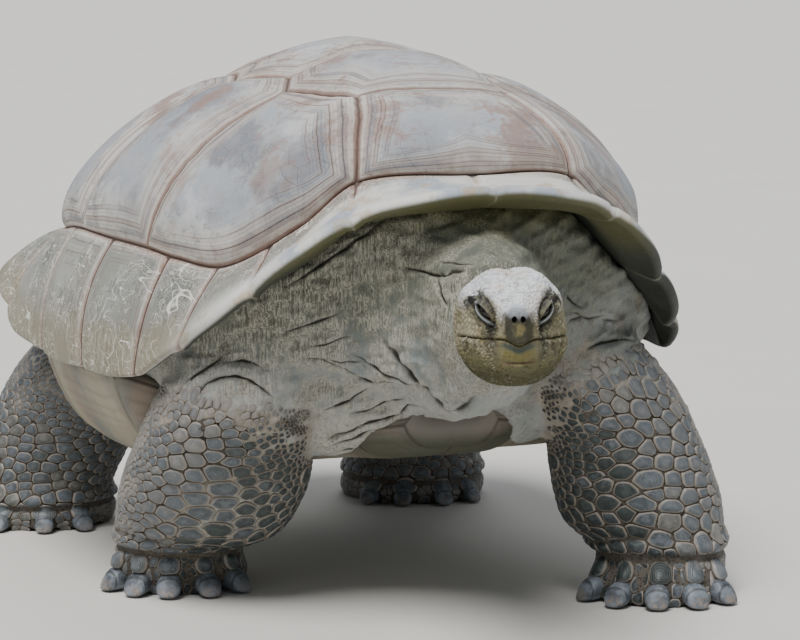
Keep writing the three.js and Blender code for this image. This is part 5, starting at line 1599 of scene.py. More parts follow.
    def build(self) -> Object:
        """Returns the finished skin."""
        skin = self.remeshed(self.copies())
        self.thin(skin, self.hidden(read_points(skin.data)))
        mesh = skin.data
        self.settle(mesh, np.ones(len(mesh.vertices)), 3)
        body = self.frame.body(read_points(mesh))
        # The skin over the neck, under the shell's front rim, is smoothed most.
        under_rim = smooth((body[:, 2] - 450) / 40) * smooth((-370 - body[:, 1]) / 30)
        self.settle(mesh, under_rim * (self.head.local(body)[:, 1] < -70), 90)
        # Chest, neck and head get finer, then what carries folds and the head, then its features.
        self.refine(mesh, self.near_front)
        self.refine(mesh, lambda body: self.near_head(body) | self.near_folds(body))
        self.settle(mesh, np.ones(len(mesh.vertices)), 2)
        self.project_head(mesh)
        self.refine(mesh, self.near_features)
        self.project_head(mesh)
        local = self.head.local(self.frame.body(read_points(mesh)))
        # The nape, where head and neck meet, and round the eyes.
        root = bell(local[:, 1] + 60, 22) * (norm(local[:, ::2]) < 130)
        self.settle(mesh, root, 12)
        self.settle(mesh, bell(norm(np.abs(local) - np.array(self.head.eye)), 22), 4)
        self.carve(mesh)
        self.wrinkle(mesh)
        body = self.frame.body(read_points(mesh))
        sizes = [LegScales(leg, self.frame).gaps(body) for leg in LEGS]
        set_value(mesh, "scaled", np.max(sizes, 0))
        shade_smooth(mesh)
        mesh.materials.clear()
        mesh.materials.append(SkinFinish(self.head, self.frame).material())
        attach(skin, "root")
        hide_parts(*self.flesh, "head")
        return skin

    def thin(self, skin: Object, shut: Array) -> None:
        """Makes the hidden skin of few faces."""
        group = skin.vertex_groups.new(name="hidden")
        group.add([int(i) for i in np.flatnonzero(shut)], 1.0, "REPLACE")
        thinner = skin.modifiers.new("thin", "DECIMATE")
        thinner.vertex_group = "hidden"
        thinner.ratio = float(1 - shut.mean() * self.hidden_share)
        thinner.vertex_group_factor = 10
        thinned = applied(skin)
        skin.modifiers.clear()
        skin.vertex_groups.clear()
        old, skin.data = skin.data, thinned
        bpy.data.meshes.remove(old)
        LOG.info("skin: %d of %d points hidden, %d left", shut.sum(), len(shut), len(thinned.vertices))

    def near_front(self, body: Array) -> Array:
        """Tells which points belong to the chest, the neck and the head."""
        x, y, z = body.T
        half, rear, bottom, top = self.front
        return (y < rear) & (z > bottom) & (z < top) & (np.abs(x) < half)

    def near_head(self, body: Array) -> Array:
        """Tells which points belong to the head."""
        local = self.head.local(body)
        return (local[:, 1] > -60) & (norm(local) < self.head_reach)

    def near_features(self, body: Array) -> Array:
        """Tells which points lie round the eyes, the nostrils and the mouth."""
        local = self.head.local(body)
        head = self.near_head(body)
        eyes = norm(np.abs(local) - (np.array(self.head.eye) + [7, 7, 0])) < 27
        snout = (local[:, 1] > 84) & (np.abs(local[:, 2] - 20) < 12)
        lips = (np.abs(self.head.mouth_line(local)) < 7) & (local[:, 1] > -2)
        return head & (eyes | snout | lips)

    def carve(self, mesh: Mesh) -> None:
        """Gives the head its lids, lips and nostrils."""
        points = read_points(mesh)
        local = self.head.local(self.frame.body(points))
        mine = self.near_head(self.frame.body(points))
        local[mine] = self.head.carve(local[mine])
        points[mine] = self.frame.metres(self.head.place(local[mine]))
        write_points(mesh, points)
        for name, values in self.head.marks(local).items():
            set_value(mesh, name, values)


# ------------------------------------------------------------------ claws and eyes
@dataclass
class Claw:
    """A stout blunt nail that grows from a toe, forward and down."""

    leg: Leg
    index: int
    frame: BodyFrame
    root: tuple[float, float] = (0.955, -9.0)  # place down the leg, and height over its skin
    # In shares of the claw's length: way out, half width, top, underside.
    nail: Keyed = Keyed([
        [-0.1, [0.45, 1.0, 0.1]], [0.2, [0.5, 1.06, 0.05]], [0.42, [0.53, 1.0, 0.04]],
        [0.56, [0.53, 0.88, 0.04]], [0.68, [0.5, 0.72, 0.05]], [0.78, [0.45, 0.54, 0.06]],
        [0.87, [0.37, 0.37, 0.08]], [0.95, [0.24, 0.23, 0.1]],
    ])

    def build(self, material: Material) -> Object:
        """Returns the finished claw."""
        leg, length = self.leg, self.leg.claw
        angle = math.radians(leg.claws[self.index])
        place, sunk = self.root
        root = leg.point(np.array(place), np.array(angle), sunk)
        away = unit(TOWARD * math.cos(angle) + ACROSS * math.sin(angle))
        wide = unit(np.cross(away, [0.0, 0.0, 1.0]))
        out = np.linspace(-0.1, 0.96, 32)[:, None]
        turn = np.linspace(0, 2 * math.pi, 33)[None]
        half, top, low = np.moveaxis(self.nail(out), -1, 0)
        worn = 1 + 0.01 * np.sin(out * 46) + 0.02 * np.sin(turn * 3 + self.index)
        centre = root + away * (length * out)[..., None]
        sideways = length * half * power(np.cos(turn), 0.72) * worn
        points = centre + wide * sideways[..., None]
        rise = power(np.sin(turn), 0.9) * (1 - 0.12 * np.abs(np.cos(turn)))
        points[..., 2] = length * ((top + low) / 2 + (top - low) / 2 * rise * worn)
        ends = [np.broadcast_to(row[:-1].mean(0) + away * beyond, row.shape)[None]
                for row, beyond in ((points[0], 0.0), (points[-1], length * 0.05))]
        values = np.broadcast_to(out, points.shape[:2])
        along = np.concatenate([values[:1], values, values[-1:]])
        patch = Patch(np.concatenate([ends[0], points, ends[1]]), {"along": along})
        node = leg.name.replace("leg", "_claw") + f"_{self.index + 1}"
        claw = new_object("nail_" + node, patch_mesh("nail", [patch], self.frame))
        claw.data.materials.append(material)
        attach(claw, "root")
        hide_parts(node)
        return claw


@dataclass
class Eyes:
    """The two eyeballs, with dark iris and pupil, behind their lids."""

    head: Head
    frame: BodyFrame
    gaze: Triple = (0.52, 0.84, 0.1)  # the way the left eye looks, in the head's frame

    def build(self, side: int) -> Object:
        """Returns one eyeball."""
        name = "left" if side > 0 else "right"
        patch = self.head.ball(side, self.head.eye_radius)
        gaze = unit(np.array(self.gaze) * [side, 1, 1]) @ self.head.axes()
        rays = unit(patch.points - self.head.place(self.head.eye_place(side)))
        patch.values["polar"] = np.degrees(np.arccos(np.clip(rays @ gaze, -1, 1)))
        ball = new_object(f"eyeball_{name}", patch_mesh("eyeball", [patch], self.frame))
        ball.data.materials.append(EyeFinish().material())
        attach(ball, "root")
        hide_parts(f"eye_{name}")
        return ball


# ------------------------------------------------------------------ shader maths
class Signal:
    """An output of a node, with arithmetic that adds nodes."""

    def __init__(self, net: "Net", socket: bpy.types.NodeSocket) -> None:
        """Keeps the socket and the net it belongs to."""
        self.net = net
        self.socket = socket

    def _math(self, operation: str, *values: object) -> "Signal":
        """Returns a Math node's output."""
        return self.net.node("ShaderNodeMath", {"operation": operation}, dict(enumerate(values)))

    def __add__(self, other: object) -> "Signal":
        """Adds a value."""
        return self._math("ADD", self, other)

    __radd__ = __add__

    def __mul__(self, other: object) -> "Signal":
        """Multiplies by a value."""
        return self._math("MULTIPLY", self, other)

    __rmul__ = __mul__

    def __sub__(self, other: object) -> "Signal":
        """Takes a value away."""
        return self._math("SUBTRACT", self, other)

    def __rsub__(self, other: object) -> "Signal":
        """Takes this from a value."""
        return self._math("SUBTRACT", other, self)

    def __pow__(self, other: object) -> "Signal":
        """Raises to a power."""
        return self._math("POWER", self, other)

    def wave(self) -> "Signal":
        """Returns the sine, laid between 0 and 1."""
        return self._math("SINE", self) * 0.5 + 0.5

    def size(self) -> "Signal":
        """Returns the absolute value."""
        return self._math("ABSOLUTE", self)

    def least(self, other: object) -> "Signal":
        """Returns the smaller of two."""
        return self._math("MINIMUM", self, other)

    def most(self, other: object) -> "Signal":
        """Returns the larger of two."""
        return self._math("MAXIMUM", self, other)

    def step(self, low: float, high: float) -> "Signal":
        """Returns 0 at low, 1 at high and a smooth rise between; low may be the larger."""
        ends = {"From Min": min(low, high), "From Max": max(low, high)}
        if low > high:
            ends |= {"To Min": 1.0, "To Max": 0.0}
        settings = {"interpolation_type": "SMOOTHSTEP"}
        return self.net.node("ShaderNodeMapRange", settings, {"Value": self} | ends)

    def part(self, axis: int) -> "Signal":
        """Returns one coordinate of a vector."""
        return self.net.node("ShaderNodeSeparateXYZ", {}, {0: self}, axis)


def tint(code: str) -> tuple[float, float, float, float]:
    """Returns a colour for a hexadecimal code as seen on a screen."""
    parts = [int(code[i:i + 2], 16) / 255 for i in (0, 2, 4)]
    linear = [p / 12.92 if p <= 0.04045 else ((p + 0.055) / 1.055) ** 2.4 for p in parts]
    return (linear[0], linear[1], linear[2], 1.0)


class Net:
    """The nodes of one material."""

    def __init__(self, name: str) -> None:
        """Makes the material."""
        self.material = bpy.data.materials.new(name)
        self.material.use_nodes = True
        self.tree = self.material.node_tree
        self.shader = self.tree.nodes["Principled BSDF"]
        self.place = self.node("ShaderNodeTexCoord", {}, {}, "Object")

    def _set(self, socket: bpy.types.NodeSocket, value: object) -> None:
        """Links a signal to a socket, or writes a value on it."""
        if isinstance(value, Signal):
            self.tree.links.new(value.socket, socket)
        elif isinstance(value, str):
            socket.default_value = tint(value)
        else:
            socket.default_value = value

    def node(self, kind: str, settings: dict[str, object], inputs: dict[int | str, object],
             output: int | str = 0) -> Signal:
        """Adds a node.

        Args:
            kind: the node's type.
            settings: its settings, set first.
            inputs: values or signals of its sockets, by name or number.
            output: the output to return.

        Returns:
            That output.
        """
        made = self.tree.nodes.new(kind)
        for name, value in settings.items():
            setattr(made, name, value)
        for key, value in inputs.items():
            self._set(made.inputs[key], value)
        return Signal(self, made.outputs[output])

    def value(self, name: str) -> Signal:
        """Returns a number that the mesh carries."""
        return self.node("ShaderNodeAttribute", {"attribute_name": name}, {}, "Fac")

    def stretched(self, scale: Triple, turn: Triple = (0, 0, 0)) -> Signal:
        """Returns the place scaled and turned."""
        return self.node("ShaderNodeMapping", {}, {"Vector": self.place, "Scale": scale, "Rotation": turn})

    def noise(self, scale: float, detail: float = 4, rough: float = 0.55, at: Signal | None = None,
              bend: float = 0.0) -> Signal:
        """Returns a noise of about 0 to 1."""
        return self.node("ShaderNodeTexNoise", {"noise_dimensions": "3D"}, {
            "Vector": at or self.place, "Scale": scale, "Detail": detail,
            "Roughness": rough, "Distortion": bend})

    def cells(self, scale: float, feature: str = "DISTANCE_TO_EDGE", at: Signal | None = None) -> Signal:
        """Returns the distance in a pattern of cells."""
        inputs = {"Vector": at or self.place, "Scale": scale}
        return self.node("ShaderNodeTexVoronoi", {"feature": feature}, inputs)

    def blend(self, first: object, second: object, share: object) -> Signal:
        """Returns a colour between two, by a share."""
        settings = {"data_type": "RGBA", "clamp_factor": True}
        return self.node("ShaderNodeMix", settings, {0: share, 6: first, 7: second}, 2)

    def layers(self, ground: object, *coats: tuple[object, object]) -> Signal:
        """Returns the colour of a ground under coats that are laid over it in turn.

        Args:
            ground: the first colour.
            coats: each coat's colour, and the share of it that covers what lies below.

        Returns:
            The colour on top.
        """
        for colour, share in coats:
            ground = self.blend(ground, colour, share)
        return ground

    def vector(self, operation: str, *values: object, output: int | str = 0) -> Signal:
        """Returns a Vector Math node's output."""
        inputs = dict(enumerate(values))
        return self.node("ShaderNodeVectorMath", {"operation": operation}, inputs, output)

    def scratches(self, scale: float, length: float, turn: Triple, thin: float) -> Signal:
        """Returns thin lines in one direction, from 0 to 1.

        Args:
            scale: how many lie in a metre.
            length: how many times longer than wide they are.
            turn: the way they run.
            thin: how thin they are, from 0 to 1.

        Returns:
            The lines.
        """
        at = self.stretched((scale, scale, scale / length), turn)
        lines = self.noise(1.0, 2, 0.5, at, 0.8)
        return (lines - 0.5).size().step(thin, 0.0)

    def finish(self, colour: object, rough: object, height: Signal | None, depth: float,
               **uniform: float) -> Material:
        """Connects the shader.

        Args:
            colour: the base colour.
            rough: the roughness.
            height: the relief, in millimetres, or none.
            depth: how much of the relief is used.
            uniform: values that are the same all over, by socket with spaces as underscores.

        Returns:
            The material.
        """
        self._set(self.shader.inputs["Base Color"], colour)
        self._set(self.shader.inputs["Roughness"], rough)
        for name, value in uniform.items():
            self.shader.inputs[name.replace("_", " ")].default_value = value
        if height is not None:
            bump = self.node("ShaderNodeBump", {}, {"Height": height, "Distance": MM, "Strength": depth})
            self._set(self.shader.inputs["Normal"], bump)
        return self.material


# ------------------------------------------------------------------ finishes
@dataclass(frozen=True)
class ShellFinish:
    """Worn horn: warm grey with slate middles, brown growth rings, scratches and a pale rolled rim, with
    painted shade darkening the roll's underside and the inside, most on the left.
    """

    horn: str = "c0bdb9"
    slate: str = "97a0ac"
    beige: str = "c8bdb1"
    brown: str = "8d7064"
    dark: str = "43342d"
    light: str = "dad5cb"
    olive: str = "87897f"
    lip: str = "dcdbd6"
    # dark olive of the inside, which also stands for painted shade under the rim
    under: str = "30362b"
    rough: float = 0.58
    relief: float = 0.9

    def material(self) -> Material:
        """Returns the material of the upper shell."""
        net = Net("worn_horn")
        seam, tone, rim = (net.value(name) for name in ("seam", "tone", "rim"))
        x, y, z = (net.place.part(axis) for axis in range(3))
        broad, patchy, fine = net.noise(3.4, 3), net.noise(12, 6, 0.62), net.noise(90, 5, 0.65)
        grain = net.noise(1, 6, 0.7, net.stretched((260, 260, 60)))
        cloud, stain = net.noise(6, 6, 0.62), net.noise(9, 6, 0.66, net.stretched((1, 1.3, 0.8)))
        uneven = patchy - 0.5
        # Where: on the marginals, over the neck, round the front, and toward the left, the side away from
        # the light that gets painted shade.
        band = rim.step(0.0, 0.02) * rim.step(1.6, 1.2)
        first, front, left = y.step(-0.34, -0.4), y.step(-0.2, -0.34), x.step(0.2, 0.32)
        low = band * y.step(0.42, 0.1)
        middle = (seam + (broad - 0.5) * 110 + uneven * 60).step(22, 78)
        rust = (seam + uneven * 40).step(40, 8) * (patchy * 0.5 + broad * 0.5).step(0.44, 0.56)
        specks = (fine * 0.6 + patchy * 0.4).step(0.5, 0.58) * (z + (cloud - 0.5) * 0.3).step(0.6, 0.5)
        # Growth rings: thin lines, the broad bands that they crowd in, and dusky ones.
        sway = seam + (broad - 0.5) * 14 + uneven * 2.5
        reach = seam.step(6, 10) * (seam + (net.noise(5, 2) - 0.5) * 130).step(74, 30) * rim.step(1.0, 0.8)
        wide = (sway * 0.37 + tone * 30).wave() ** 2
        lines = (sway * 1.13 + tone * 9).wave() ** 5 * reach * (0.35 + 0.65 * wide)
        dusky = (sway * 0.23 + tone * 17 + 2).wave() ** 3 * reach * patchy.step(0.4, 0.55)
        # Wear: pale edges, straight and curled scratches, and cracks.
        edge = seam.step(16, 9) * seam.step(4, 7) * (patchy * 0.6 + fine * 0.4).step(0.42, 0.56)
        straight = net.scratches(230, 30, (0.5, 0.7, 0.2), 0.035)
        straight = straight + net.scratches(260, 30, (-0.6, 0.9, 1.0), 0.03)
        turned = net.stretched((1, 1, 1), (1, 2, 3))
        curled = (net.noise(22, 0, 0.5, bend=1.6) - 0.5).size().step(0.014, 0.002)
        curled = curled.most((net.noise(27, 0, 0.5, turned, 1.8) - 0.5).size().step(0.012, 0.002))
        marks = (straight * (0.75 - band * 0.4) + curled).least(1.0)
        worn = (band * 0.9 + 0.1) * (patchy * 0.6 + broad * 0.4).step(0.42, 0.5)
        cracks = net.cells(30).step(0.008, 0.0) * (broad * 0.5 + patchy * 0.5).step(0.5, 0.6)
        # The rolled lip over the neck, and the inside of the shell: dark olive with painted shade, darkest
        # on the left, away from the light.
        pale = (rim + first * 0.9).step(0.5, 0.95) * rim.step(0.0, 0.02) * rim.step(1.75, 1.45) * front
        lip = net.layers(
            self.lip,
            ("a9b2bd", patchy.step(0.46, 0.62)),
            ("bb9f78", net.noise(26, 5).step(0.52, 0.66) * 0.6))
        under = net.layers(
            self.under,
            ("5b5a35", first * left.step(1, 0) * (patchy * 0.4 + 0.6)),
            # Painted shade: the left side, away from the light, goes near black.
            ("1b211b", left * 0.8))
        colour = net.layers(
            self.horn,
            (self.beige, (patchy + tone * 0.2 - 0.1).step(0.46, 0.66)),
            (net.blend(self.slate, "a9aaae", patchy.step(0.42, 0.6)), middle * 0.8),
            ("73767d", middle * (broad * 0.5 + patchy * 0.5).step(0.5, 0.6) * 0.5),
            (self.olive, low * (seam + patchy * 30).step(14, 34) * 0.85),
            ("6c727c", cloud.step(0.53, 0.62) * (middle * 0.5 + 0.12)),
            ("e2ddd6", cloud.step(0.47, 0.38) * 0.42),
            ("8d7262", stain.step(0.53, 0.62) * (0.42 - band * 0.25)),
            ("5f625f", band * stain.step(0.48, 0.4) * 0.4),
            ("96756a", (stain * 0.6 + fine * 0.4).step(0.5, 0.56) * z.step(0.57, 0.66) * 0.55),
            ("59625f", specks * seam.step(8, 24) * 0.45),
            (self.brown, rust * 0.6),
            (self.brown, wide * reach * (0.42 - first * 0.25)),
            ("66717f", dusky * 0.5),
            (self.dark, lines * (0.68 - first * 0.35)),
            ("8a8c86", band * seam.step(6, 16) * 0.5),
            ("5c625c", band * (patchy * 0.7 + fine * 0.3).step(0.48, 0.6) * seam.step(8, 20) * 0.7),
            ("867f66", band * (rim + uneven * 0.5).step(0.5, 0.8) * (0.75 - front * 0.75)),
            (self.light, edge * (0.5 - band * 0.3)),
            ("8a695b", (seam + uneven * 5).step(7, 3) * (0.7 - first * 0.45)),
            ("ddd9d0", marks * worn),
            ("ddd5c9", fine.step(0.64, 0.76) * 0.4),
            (self.dark, cracks * 0.35),
            (self.dark, (seam + (fine - 0.5) * 1.6).step(2.6, 1.0) * 0.85),
            (lip, pale * 0.92),
            # Painted shade on the roll's underside and the inside; on the left it reaches further round the
            # roll.
            (under, (rim + left * 0.32).step(1.4, 1.65) * 0.97),
            ("8d8c7c", seam.step(2.4, 1.2) * rim.step(1.2, 1.4) * 0.5))
        height = lines * -0.7 + fine * 0.35 + grain * 0.2 - cracks * 0.5 + patchy * 0.8 + cloud * 1.5
        rough = self.rough + (fine - 0.5) * 0.25
        return net.finish(colour, rough, height, self.relief, Specular_IOR_Level=0.4)


@dataclass(frozen=True)
class UnderShellFinish:
    """Smooth olive-cream and grey horn of the under shell and bridges."""

    horn: str = "a09984"
    grey: str = "77766f"
    pink: str = "96806f"
    olive: str = "4e5440"
    groove: str = "3b3229"
    rough: float = 0.6
    relief: float = 0.8

    def material(self) -> Material:
        """Returns the material of the under shell."""
        net = Net("smooth_horn")
        seam, tone, height = net.value("seam"), net.value("tone"), net.place.part(2)
        broad, fine = net.noise(6, 5), net.noise(80, 5, 0.65)
        fore = net.place.part(1).step(-0.2, -0.26)
        lines = (seam * 0.8 + broad * 9).wave() ** 3 * seam.step(60, 10)
        colour = net.layers(
            self.horn,
            (self.grey, (broad + tone * 0.2).step(0.45, 0.7)),
            (self.pink, net.noise(15, 4).step(0.5, 0.66) * 0.6),
            (self.olive, height.step(0.2, 0.17) * 0.5),
            ("6f6860", fore * 0.7),
            ("363b29", fore * (height + (broad - 0.5) * 0.03).step(0.262, 0.238) * 0.8),
            (self.groove, lines * 0.18),
            (self.groove, (seam + fine).step(2.8, 1.0) * 0.8))
        rough = self.rough + (fine - 0.5) * 0.2
        return net.finish(colour, rough, lines * -0.4 + fine * 0.4, self.relief, Specular_IOR_Level=0.4)


def hide_ground(net: Net) -> Signal:
    """Returns the colour of the hide between the scales, on the skin."""
    broad, patchy = net.noise(7, 4), net.noise(28, 5, 0.6)
    return net.layers(
        "8d867c", ("a69d90", patchy.step(0.38, 0.62)), ("5d5a52", broad.step(0.5, 0.7) * 0.5))


@dataclass(frozen=True)
class ScaleFinish:
    """Slate plates with dusty tan borders, blue-black where they are small and inside, with painted shade
    in the grooves at their roots.
    """

    slate: str = "626970"
    dusk: str = "394341"
    pale: str = "a09a93"
    border: str = "a0968a"
    small: str = "242c32"
    rough: float = 0.42
    relief: float = 0.9

    def material(self) -> Material:
        """Returns the material of the leg scales."""
        net = Net("leg_scales")
        tone, edge, size, dark = (net.value(name) for name in ("tone", "edge", "size", "dark"))
        patchy, fine = net.noise(45, 5, 0.62), net.noise(260, 4, 0.6)
        uneven, little = patchy - 0.5, size.step(14, 9)
        light = tone.step(0.72, 0.95) * dark.step(0.6, 0.2) * 0.6
        light = light + (patchy - dark * 0.3).step(0.42, 0.6) * 0.35
        blots = net.noise(95, 5, 0.65).step(0.47, 0.56) * edge.step(0.12, 0.3) * (dark * 0.8 + 0.15)
        worn = (edge + uneven * 0.3 - little * 0.1 + (tone - 0.5) * 0.08).step(0.26, 0.08)
        rings = (edge * 34 + patchy * 6).wave() ** 4 * edge.step(0.1, 0.2) * edge.step(0.8, 0.5)
        colour = net.layers(
            self.slate,
            (self.dusk, (tone * 0.4 + patchy * 0.4 + dark * 0.4).step(0.45, 0.8)),
            (self.pale, light.least(1.0) * 0.7),
            ("1f2627", blots * 0.75),
            (self.small, dark.step(0.35, 0.75) * (little * 0.75 + 0.1)),
            (self.pale, little * dark.step(0.45, 0.2) * 0.75),
            (self.border, worn * 0.75),
            ("2c2e2a", rings * (1 - little) * 0.35),
            # Painted shade in the groove at each scale's root, strongest round large scales.
            ("241f1a", edge.step(0.04, 0.0) * (1 - little * 0.7) * 0.95),
            ("c3beb4", fine.step(0.62, 0.76) * 0.4))
        height = fine * 0.4 + patchy * 1.2 - rings * 0.5
        return net.finish(colour, self.rough + uneven * 0.3, height, self.relief, Specular_IOR_Level=0.5)


@dataclass(frozen=True)
class SkinFinish:
    """Dry wrinkled hide: grey-tan chest, olive under the shell, a whitish head with an ochre face, and
    painted shade in the folds, the fine creases and the gaps between leg scales.
    """

    head: Head
    frame: BodyFrame
    rough: float = 0.72
    relief: float = 0.75

    def material(self) -> Material:
        """Returns the material of the skin."""
        net = Net("wrinkled_hide")
        centre = tuple(float(c) for c in self.frame.metres(np.array(self.head.centre)))
        off = net.vector("SUBTRACT", net.place, centre)
        left, forward, up = (
            net.vector("DOT_PRODUCT", off, tuple(float(c) for c in way), output="Value") * (1 / MM)
            for way in self.head.axes())
        aside, height = net.place.part(0), net.place.part(2)
        fold, scaled = net.value("fold"), net.value("scaled")
        broad, patchy, fine = net.noise(5, 4), net.noise(22, 6, 0.62), net.noise(170, 5, 0.6)
        uneven, across = patchy - 0.5, aside + (broad - 0.5) * 0.2
        level = height + uneven * 0.1
        shaded = across.step(-0.1, -0.2) * level.step(0.3, 0.4)
        # Fine straight lines, one way on the throat and crossed beside it.
        straw = net.scratches(300, 16, (0.12, 0.1, 0), 0.07) * (
            across.step(-0.16, -0.07) * aside.step(0.07, 0.0) * 0.8 + 0.2)
        cross = net.scratches(250, 18, (0.5, -0.6, 0), 0.06)
        cross = (cross + net.scratches(250, 18, (-0.6, 0.5, 0.4), 0.06)) * across.step(-0.02, -0.12)
        creases = net.noise(1, 6, 0.65, net.stretched((90, 80, 44), (0.1, 0.25, 0)), 1.6)
        pits = net.cells(240, "F1").step(0.5, 0.2)
        leg = ((scaled + uneven * 12).step(1, 7) + height.step(0.12, 0.08)).least(1.0)
        # Painted shade in the narrow gaps between large scales; the same dark also low on the feet.
        gap_shade = (scaled.step(10, 14) + height.step(0.075, 0.06)).least(1.0)
        on_head = forward.step(-44, -30) * left.size().step(92, 80) * up.size().step(95, 85)
        colour = net.layers(
            "7c7f7a",
            ("9c9e9b", broad.step(0.38, 0.6)),
            ("978a7c", patchy.step(0.52, 0.66) * 0.5),
            ("808b8c", patchy.step(0.44, 0.34) * 0.6),
            ("a3a5a1", level.step(0.34, 0.26) * 0.6),
            ("5e6152", (height + uneven * 0.12).step(0.36, 0.46) * 0.75),
            ("71713c", (height + (broad + patchy - 1) * 0.06).step(0.5, 0.56) * 0.85),
            ("44483a", shaded * 0.6),
            # Painted shade in the lows of the fine creases, where their relief sinks.
            ("55564f", creases.step(0.44, 0.34) * 0.45),
            ("c9c4b4", (straw * 0.9 + cross).least(1.0) * patchy.step(0.36, 0.52) * 0.6),
            ("3d3b33", pits * patchy.step(0.5, 0.62) * 0.35),
            # Painted shade along the bottoms of the folds.
            ("24211a", fold.step(0.2, 0.75) * 0.92),
            # The hide between the leg scales, with painted shade in the narrow gaps.
            (net.blend(hide_ground(net), "2f2a23", gap_shade * 0.75 + pits * 0.2), leg),
            (self.face(net, left, forward, up), on_head))
        relief = creases * 1.3 + (straw + cross) * 0.4 + fine * 0.4 - pits * 0.5
        return net.finish(colour, self.rough + uneven * 0.2, relief, self.relief, Specular_IOR_Level=0.35)

    def face(self, net: Net, left: Signal, forward: Signal, up: Signal) -> Signal:
        """Returns the head's colour by place in its own frame, in millimetres, with painted shade on its
        left side, under the chin, round the lids and in the nostrils, and a painted reflection on the lower
        lids.
        """
        patchy, fine, small = net.noise(40, 5, 0.62), net.noise(210, 5, 0.6), net.noise(110, 4, 0.6)
        lip, eye, under, tone = (net.value(name) for name in ("lip", "eye", "under", "tone"))
        broad, wave = net.noise(17, 4), (patchy - 0.5) * 36
        aside = (left + wave * 0.2 + (small - 0.5) * 16).size()
        # The crown, and the low parts: cheek, jowl and chin.
        crown = (up + wave * 0.9).step(16, 46)
        wrinkle = net.noise(1, 4, 0.6, net.stretched((40, 60, 260)), 0.8).step(0.44, 0.36)
        plates = net.cells(34, at=net.stretched((1, 1, 1.6))).step(0.012, 0.0)
        low = (up + wave).step(-8, -34)
        mottle = net.cells(230, "F1").step(0.55, 0.25) * small.step(0.44, 0.56)
        round_jowl = ((aside - 50) * 0.07) ** 2 + ((up + 15) * 0.08) ** 2 + ((forward - 48) * 0.03) ** 2
        jowl = round_jowl.step(1.3, 0.2)
        # The snout, the beak, the line of the mouth and the eyes.
        nose = forward.step(64, 80)
        side = (aside + wave * 0.12).step(22, 13) * nose
        side = side * lip.step(-0.5, 2) * (up + wave * 0.2).step(38, 26)
        beak = forward.step(72, 88) * aside.step(25, 13)
        line = (lip + (small - 0.5) * 2).size()
        behind = forward.step(4, 12)
        socket = (eye + (patchy - 0.5) * 1.4).step(5.2, 3.4)
        lid = net.blend("716d56", "24241b", (small * 0.6 + fine * 0.4).step(0.42, 0.56))
        spot = net.node("ShaderNodeCombineXYZ", {}, {0: left, 1: forward * 0.2, 2: up})
        apart, high = self.head.nostril
        holes = (-apart, 18.6, high), (apart, 18.6, high)
        nostrils = [net.vector("DISTANCE", spot, hole, output="Value") for hole in holes]
        return net.layers(
            "a29b84",
            ("857e64", patchy.step(0.42, 0.6)),
            ("ad9688", small.step(0.5, 0.62) * 0.5),
            ("7e7648", broad.step(0.48, 0.62) * 0.55),
            # Painted shade: the head's left side, away from the light, goes darker.
            ("6c694f", (left + wave).step(-10, 40) * 0.55),
            ("e6e7e8", crown),
            ("b3bcc9", crown * small.step(0.48, 0.62) * 0.6),
            ("d6bfae", crown * broad.step(0.52, 0.6) * 0.5),
            ("857b6c", wrinkle * up.step(10, 40) * 0.6),
            ("9a958c", plates * crown * 0.5),
            ("75703f", low * 0.75),
            # The chin's own dark olive, deepened as painted shade under the head.
            ("34361c", (up + wave).step(-22, -50) * 0.8),
            ("4b4527", jowl * 0.8 * small.step(0.4, 0.56)),
            ("28250f", mottle * (jowl + low * 0.8).least(1.0) * 0.85),
            ("191d12", side * 0.94),
            ("161a12", side * aside.step(3, 11) * (small + patchy).step(0.8, 1.05) * 0.9),
            ("867c4c", side * aside.step(7, 2) * up.step(25, 19) * up.step(6, 12) * 0.7),
            ("7f868f", nose * aside.step(15, 7) * (up - 34).size().step(9, 2) * 0.8),
            ("34494d", beak * lip.step(0.0, -3) * lip.step(-15, -7) * 0.9),
            ("7d7433", beak * lip.step(-7, -13) * lip.step(-26, -16) * 0.7),
            ("5f3a2b", beak * (up + 25.3 + wave * 0.06).size().step(1.9, 0.6) * 0.7),
            ("67622f", line.step(5, 1) * behind * 0.5),
            ("2a2613", line.step(1.6, 0.6) * behind * 0.92),
            (lid, socket * 0.9),
            # Painted shade in the crease round the lids, strongest below the eye.
            ("1a1914", (eye - 2.3).size().step(0.55, 0.15) * (0.35 + under.step(-2, 2) * 0.6)),
            ("15140f", eye.step(1.12, 0.98) * 0.95),
            # Painted reflection: a bluish-white sheen along the lower lid.
            ("bcc7d2", (eye - 1.45).size().step(0.46, 0.24) * under.step(0.5, 3) * 0.9),
            ("4f4a38", tone.step(0.24, 0.04) * crown.step(1.0, 0.2) * 0.35),
            ("f0ece2", tone.step(0.7, 1.0) * 0.14),
            # Painted shade: the nostrils' holes are painted near black.
            *(("060504", away.step(4.2, 2.8) * forward.step(60, 70)) for away in nostrils),
            ("e8e3d6", fine.step(0.64, 0.78) * 0.25))


